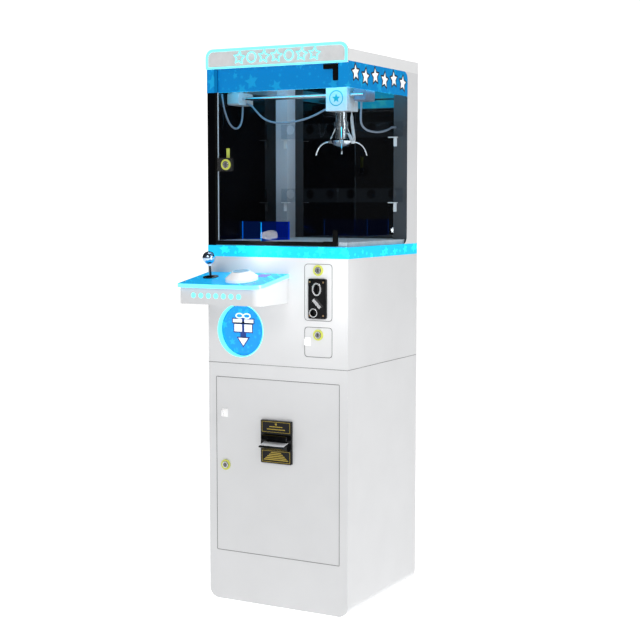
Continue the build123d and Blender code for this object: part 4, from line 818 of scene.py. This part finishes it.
def display_digits():
    """Two rows of plain seven-segment figures."""
    low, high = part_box("display_window")
    up = Vector((0, 1, DECK_SLOPE)).normalized()
    glow = plastic("digit_glow", (0.24, 0.28, 0.90), 0.5, 0.01, 0.0, 0.6)
    centre = Vector(((low[0] + high[0]) / 2, (low[1] + high[1]) / 2, (low[2] + high[2]) / 2))
    out = Vector((1, 0, 0)).cross(up)
    face = place(centre + out * 0.0022, (1, 0, 0), up)
    segments = []
    for row in (-0.010, 0.011):
        for column in range(3):
            x = -0.012 + column * 0.012
            for dy in (-0.006, 0.0, 0.006):
                segments.append(rectangle(x - 0.003, x + 0.003, row + dy - 0.0007, row + dy + 0.0007))
            for dx in (-0.0036, 0.0036):
                segments.append(rectangle(x + dx - 0.0007, x + dx + 0.0007, row - 0.0055, row + 0.0055))
    flat_piece("display_digits", segments, 0.0004, face, glow, "cabinet")


# ---- banknote and coin fittings ----
def bill_trim():
    """Gold print on the banknote acceptor, with a faint glow that is a painted sheen, and the pale guide in
    its mouth.
    """
    low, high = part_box("bill_acceptor")
    proud, reach, level = 0.010, 0.042, 0.586
    bezel_y = FRONT - proud
    cx = (low[0] + high[0]) / 2
    # the gold print's faint glow is a painted sheen
    gold = plastic("print_gold", (0.36, 0.26, 0.02), 0.35, 0.02, 0.0, 0.10)
    pale = plastic("note_guide", (0.80, 0.81, 0.84), 0.25, 0.02, 0.3)
    face = place((cx, bezel_y, level), (1, 0, 0), (0, 0, 1))
    shapes = []
    for row in range(2):
        z = 0.043 + row * 0.009
        half = 0.036 - row * 0.010
        shapes.append(rectangle(-half, half, z, z + 0.003))
    shapes.append(star(0, 0.0625, 0.0055))
    for row in range(5):
        z = -0.064 + row * 0.0062
        half = 0.050 - row * 0.007
        shapes.append([(-half, z), (half, z), (half - 0.003, z + 0.0036), (-half + 0.003, z + 0.0036)])
    for bottom, top in ((0.034, 0.071), (-0.071, -0.031)):
        shapes.append(rectangle(-0.056, 0.056, bottom, bottom + 0.0014))
        shapes.append(rectangle(-0.056, 0.056, top - 0.0014, top))
        shapes.append(rectangle(-0.056, -0.0546, bottom + 0.0015, top - 0.0015))
        shapes.append(rectangle(0.0546, 0.056, bottom + 0.0015, top - 0.0015))
    flat_piece("bill_print", shapes, 0.0004, face, gold, "base_door_body")
    mouth = FRONT - proud - reach
    guide = place((cx + 0.003, 0, 0.5865), (1, 0, 0), (0, 1, 0))
    outline = rectangle(-0.047, 0.047, mouth + 0.007, bezel_y - 0.002)
    matrix = Matrix.Rotation(math.radians(14), 4, "X")
    pivot = Matrix.Translation((0, bezel_y, 0.583))
    guide = pivot @ matrix @ pivot.inverted() @ guide
    flat_piece("note_guide", [outline], 0.0016, guide, pale, "base_door_body", 0.0005)


def coin_trim(shared):
    """Rims round the coin slot and the return cup, and the faceplate's screw heads."""
    low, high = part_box("coin_faceplate")
    joint = JOINTS["coin_return_turn"]["pos_m"]
    plate_y = joint[1]
    middle = (low[2] + high[2]) / 2
    cx = (low[0] + high[0]) / 2
    face = place((cx, plate_y, middle), (1, 0, 0), (0, 0, 1))
    bronze = brushed("bronze_screw", (0.50, 0.33, 0.18), 0.3)
    outer = ellipse(0.002, 0.0325, 0.0175, 0.0225)
    inner = ellipse(0.002, 0.0325, 0.0120, 0.0175)
    ring_piece("coin_slot_bezel", outer, inner, 0.0042, face, shared["chrome"], "coin_door_body")
    outer = ellipse(-0.012, -0.048, 0.0155, 0.0155)
    inner = ellipse(-0.012, -0.048, 0.0122, 0.0122)
    ring_piece("coin_cup_rim", outer, inner, 0.0018, face, shared["chrome"], "coin_door_body")
    heads = []
    for dx in (-1, 1):
        for dz in (-1, 1):
            heads.append(ellipse(dx * 0.02575, dz * 0.0565, 0.0031, 0.0031, 20))
    flat_piece("coin_plate_screws", heads, 0.0022, face, bronze, "coin_door_body", 0.0004)


def keyholes(shared):
    """The dark key slot in each lock's barrel, a flat painted shadow for the slot's depth, and the bright
    rim round it.
    """
    dark = plastic("keyhole_dark", (0.006, 0.006, 0.006), 0.5, 0.02)
    proud = 0.006
    for name in LOCKS:
        facts = JOINTS[f"{name}_turn"]
        x, y, z = facts["pos_m"]
        face = place((x, y - proud, z), (1, 0, 0), (0, 0, 1))
        # painted shadow: a flat dark mark stands for the deep key slot
        shape = [rectangle(-0.0013, 0.0013, -0.0052, 0.0052)]
        flat_piece(f"{name}_keyhole", shape, 0.0003, face, dark, facts["child"])
        outer = ellipse(0, 0, 0.0108, 0.0108)
        inner = ellipse(0, 0, 0.0088, 0.0088)
        ring_piece(f"{name}_rim", outer, inner, 0.0007, face, shared["chrome"], facts["child"])


# ---- edges that catch the light ----
def edge_strips():
    """Glowing cut edges on the chute's guards, and the glass door's polished left edge."""
    low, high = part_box("chute_guards")
    glow = plastic("guard_glow", (0.0, 0.42, 0.66), 0.3, 0.01, 0.0, 0.7)
    half = 0.0016
    spots = (
        (high[0] - 0.0025, high[1] - 0.0015),
        (low[0] + 0.0015, high[1] - 0.0015),
        (high[0] - 0.0025, low[1] + 0.0012),
    )
    for number, (x, y) in enumerate(spots):
        face = place((x, y, low[2]), (1, 0, 0), (0, 1, 0))
        outline = rounded(-half, half, -half * 0.75, half * 0.75, 0.0004, 0.0004, 3)
        flat_piece(f"guard_edge_{number}", [outline], high[2] - low[2], face, glow, "cabinet")
    low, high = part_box("glass_door")
    pale = plastic("glass_edge", (0.34, 0.40, 0.46), 0.2, 0.01, 0.3, 0.15)
    face = place((low[0] + 0.0012, low[1], low[2]), (1, 0, 0), (0, 1, 0))
    outline = rounded(-0.0012, 0.0012, 0.0003, 0.0045, 0.0004, 0.0004, 3)
    tall = FASCIA_BOTTOM - low[2]
    flat_piece("door_edge", [outline], tall, face, pale, "glass_door_body")


# ---- painted shadow in the gaps and joints between sheets ----
def seam_lines():
    """Dark lines in the gaps round the doors, and under the middle box at the front and right: painted
    shadow.
    """
    dark = rubber("gap_shadow", (0.075, 0.075, 0.08))
    lines = []
    grow = 0.0008
    face = place((0, FRONT, 0), (1, 0, 0), (0, 0, 1))
    for node, corner in (("base_door", 0.003), ("coin_door", 0.012), ("cash_door", 0.012)):
        low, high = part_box(node)
        outline = rounded(low[0] - grow, high[0] + grow, low[2] - grow, high[2] + grow, corner, corner, 8)
        lines.append(to_space(outline, face, 0.0))
    curve_piece("door_gaps", lines, 0.0009, dark, "cabinet")
    edge = 0.0002
    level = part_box("mid_cabinet")[0][2]
    seam = [
        (LEFT - edge, FRONT - edge, level),
        (RIGHT + edge, FRONT - edge, level),
        (RIGHT + edge, -FRONT, level),
    ]
    curve_piece("box_seams", [seam], 0.0007, dark, "cabinet", False)


def stick_collar():
    """The turned collar between the joystick's shaft and its ball."""
    low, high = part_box("joystick_lever")
    joint = Vector(JOINTS["stick_roll"]["pos_m"])
    top = Vector(((low[0] + high[0]) / 2, 0, high[2] - 0.0415))
    tilt = math.atan(DECK_SLOPE)
    centre = Vector((joint.x, joint.y - math.sin(tilt) * (top.z - joint.z) / math.cos(tilt), top.z))
    profile = (
        (0.0041, -0.009),
        (0.0060, -0.008),
        (0.0078, -0.003),
        (0.0098, 0.002),
        (0.0098, 0.005),
        (0.0041, 0.005),
    )
    mesh = bmesh.new()
    rows = []
    count = 28
    for radius, height in profile:
        steps = [2 * math.pi * step / count for step in range(count)]
        rows.append([mesh.verts.new((radius * math.cos(a), radius * math.sin(a), height)) for a in steps])
    join_rows(mesh, rows)
    bmesh.ops.recalc_face_normals(mesh, faces=mesh.faces)
    mesh.transform(Matrix.Translation(centre) @ Matrix.Rotation(tilt, 4, "X"))
    # the collar's faint glow is a painted highlight
    pale = plastic("collar_white", (0.80, 0.83, 0.88), 0.25, 0.02, 0.4, 0.1)
    piece = add_mesh("stick_collar", mesh, pale, "stick_body", 0.0004)
    for polygon in piece.data.polygons:
        polygon.use_smooth = True


# ---- lamps inside ----
def ceiling_lamp():
    """Two lit strips under the roof."""
    strip = plastic("lamp_strip", (0.85, 0.92, 1.0), 0.4, 0.01, 0.0, 1.6)
    shapes = [rectangle(-0.20, 0.20, 0.10, 0.115), rectangle(-0.20, 0.20, -0.215, -0.20)]
    face = place((0, 0, WINDOW_TOP), (1, 0, 0), (0, -1, 0))
    flat_piece("ceiling_lamps", shapes, 0.004, face, strip, "cabinet", 0.001)


# ---- cables ----
# Route points in millimetres.
LEFT_FESTOON = [
    (-250, -224, 1793.5),
    (-249, -219, 1757),
    (-247, -202, 1716),
    (-245, -178, 1685),
    (-241, -146, 1672.5),
    (-236, -124, 1686),
    (-232, -115, 1716),
    (-232, -115, 1759),
]
BRIDGE_FESTOON = [
    (-222, -104, 1764),
    (-206, -104, 1764),
    (-183, -104, 1739),
    (-154, -103, 1711),
    (-116, -102, 1696),
    (-66, -101, 1692.5),
    (-14, -101, 1698),
    (38, -102, 1710),
    (78, -103, 1726),
    (103, -104, 1737.5),
    (123.7, -104, 1737.5),
]
RIGHT_FESTOON = [
    (245, -118, 1759),
    (245, -118, 1737),
    (247, -126, 1704),
    (248, -124, 1680),
    (249, -98, 1664),
    (249, -52, 1658),
    (247, 6, 1658),
    (242, 66, 1664),
    (236, 122, 1674),
    (230, 156, 1684),
    (230, 188, 1684),
]
CLAW_CORD = [
    (199, -99, 1725.7),
    (200, -100, 1697),
    (205, -103, 1667),
    (212, -108, 1642),
    (216, -114, 1625),
    (214, -121, 1613.5),
    (208.5, -122, 1632),
    (196.5, -115.6, 1650),
    (185.2, -113.6, 1650),
]


def route(name, points, radius=0.0):
    """A smooth NURBS curve with these points as its control points."""
    data = bpy.data.curves.new(name, "CURVE")
    data.dimensions = "3D"
    data.resolution_u = 16
    spline = data.splines.new("NURBS")
    spline.points.add(len(points) - 1)
    for point, where in zip(spline.points, points):
        point.co = (*[value * MM for value in where], 1)
    spline.order_u = 3
    spline.use_endpoint_u = True
    data.bevel_depth = radius
    data.bevel_resolution = 5
    piece = bpy.data.objects.new(name, data)
    bpy.context.scene.collection.objects.link(piece)
    return piece


def line_of(points):
    """The points along a route's NURBS spline."""
    guide = route("guide", points)
    mesh = bpy.data.meshes.new_from_object(guide)
    line = [vertex.co.copy() for vertex in mesh.vertices]
    bpy.data.objects.remove(guide)
    return line


def length_of(line):
    """The length of a line of points."""
    return sum((after - before).length for before, after in zip(line, line[1:]))


def festoon(name, points, body, material):
    """A hanging cable."""
    width = 0.007
    piece = route(name, points, width / 2)
    piece.data.materials.append(material)
    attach(piece, body)
    length = length_of(line_of(points))
    return piece


def curly_line(points, coil_radius, pitch):
    """A helix that winds round a route."""
    line = line_of(points)
    total = length_of(line)
    turns = total / pitch
    count = int(turns * 16)
    spots = []
    normal = None
    distance = 0.0
    steps = [0.0]
    for before, after in zip(line, line[1:]):
        distance += (after - before).length
        steps.append(distance)
    index = 0
    for step in range(count + 1):
        goal = total * step / count
        while index < len(steps) - 2 and steps[index + 1] < goal:
            index += 1
        share = (goal - steps[index]) / max(steps[index + 1] - steps[index], 1e-9)
        middle = line[index].lerp(line[index + 1], min(share, 1.0))
        along = (line[index + 1] - line[index]).normalized()
        if normal is None:
            normal = along.orthogonal().normalized()
        normal = (normal - along * normal.dot(along)).normalized()
        side = along.cross(normal)
        angle = 2 * math.pi * turns * step / count
        taper = min(1.0, 8 * step / count, 8 * (count - step) / count)
        reach = coil_radius * taper
        spots.append(middle + normal * math.cos(angle) * reach + side * math.sin(angle) * reach)
    return spots


def claw_lead(material):
    """The curly lead from the carriage to the claw's coil."""
    wire = 0.0018
    spots = curly_line(CLAW_CORD, 0.0055 - wire / 2, 0.0030)
    data = bpy.data.curves.new("claw_lead", "CURVE")
    data.dimensions = "3D"
    data.resolution_u = 2
    spline = data.splines.new("NURBS")
    spline.points.add(len(spots) - 1)
    for point, where in zip(spline.points, spots):
        point.co = (*where, 1)
    spline.order_u = 3
    spline.use_endpoint_u = True
    data.bevel_depth = wire / 2
    data.bevel_resolution = 2
    data.materials.append(material)
    piece = bpy.data.objects.new("claw_lead", data)
    bpy.context.scene.collection.objects.link(piece)
    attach(piece, "claw")
    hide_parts("claw_cord")
    flat = bpy.data.objects.new("guide", data.copy())
    flat.data.bevel_depth = 0
    mesh = bpy.data.meshes.new_from_object(flat)
    bpy.data.objects.remove(flat)


def cables():
    """The three hanging cables and the claw's lead."""
    jacket = rubber("festoon_jacket", (0.16, 0.19, 0.24))
    left = festoon("festoon_left", LEFT_FESTOON, "cabinet", jacket)
    festoon("festoon_right", RIGHT_FESTOON, "cabinet", jacket)
    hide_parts("side_festoons")
    middle = festoon("festoon_bridge", BRIDGE_FESTOON, "bridge", jacket)
    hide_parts("bridge_festoon")
    claw_lead(rubber("curly_jacket", (0.62, 0.62, 0.63)))


# ---- studio ----
def studio():
    """A pale floor and soft lamps."""
    ground = bmesh.new()
    bmesh.ops.create_grid(ground, x_segments=1, y_segments=1, size=14)
    data = bpy.data.meshes.new("studio_floor")
    ground.to_mesh(data)
    ground.free()
    floor = bpy.data.objects.new("studio_floor", data)
    bpy.context.scene.collection.objects.link(floor)
    data.materials.append(plastic("studio_paper", (0.86, 0.86, 0.86), 0.9, 0.0, 0.0, 0.9))
    backdrop()
    lamp("side_key", (4.6, -0.9, 3.0), (0, 0, 1.0), 2.4, SIDE_POWER)
    lamp("front_key", (0.6, -5.2, 3.6), (0, 0, 1.0), 2.2, FRONT_POWER)
    lamp("top", (0, 0.2, 4.6), (0, 0, 1.0), 2.4, TOP_POWER)
    lamp("console_glow", (0.36, -0.52, 1.14), (0.03, -0.36, 1.12), 0.10, CONSOLE_GLOW)
    lamp("deck_glow", (-0.06, -0.33, 1.30), (-0.02, -0.275, 1.20), 0.06, DECK_GLOW)
    bpy.context.scene.view_settings.view_transform = "Standard"


def backdrop():
    """White behind the object, soft light on matt surfaces, and darkness for polished ones to mirror."""
    world = bpy.data.worlds.new("studio")
    world.use_nodes = True
    tree = world.node_tree
    background = tree.nodes["Background"]
    rays = tree.nodes.new("ShaderNodeLightPath")
    seen = tree.nodes.new("ShaderNodeMath")
    seen.operation = "MULTIPLY_ADD"
    tree.links.new(rays.outputs["Is Camera Ray"], seen.inputs[0])
    seen.inputs[1].default_value = 1.2
    seen.inputs[2].default_value = 0.04
    soft = tree.nodes.new("ShaderNodeMath")
    soft.operation = "MULTIPLY_ADD"
    tree.links.new(rays.outputs["Is Diffuse Ray"], soft.inputs[0])
    soft.inputs[1].default_value = 0.22
    tree.links.new(seen.outputs[0], soft.inputs[2])
    background.inputs["Color"].default_value = (1, 1, 1, 1)
    tree.links.new(soft.outputs[0], background.inputs["Strength"])
    bpy.context.scene.world = world


def lamp(name, where, target, size, power):
    """A round soft lamp, aimed at a point."""
    data = bpy.data.lights.new(name, "AREA")
    data.shape = "DISK"
    data.size = size
    data.energy = power
    light = bpy.data.objects.new(name, data)
    bpy.context.scene.collection.objects.link(light)
    light.location = where
    aim = Vector(target) - Vector(where)
    light.rotation_euler = aim.to_track_quat("-Z", "Y").to_euler()


make_camera()
cables()
shared = finish_nodes()
header_light()
side_band_stars()
console_symbols(shared)
deck_edge(shared)
prize_icon()
carriage_badge()
display_digits()
bill_trim()
coin_trim(shared)
keyholes(shared)
edge_strips()
seam_lines()
stick_collar()
ceiling_lamp()
studio()
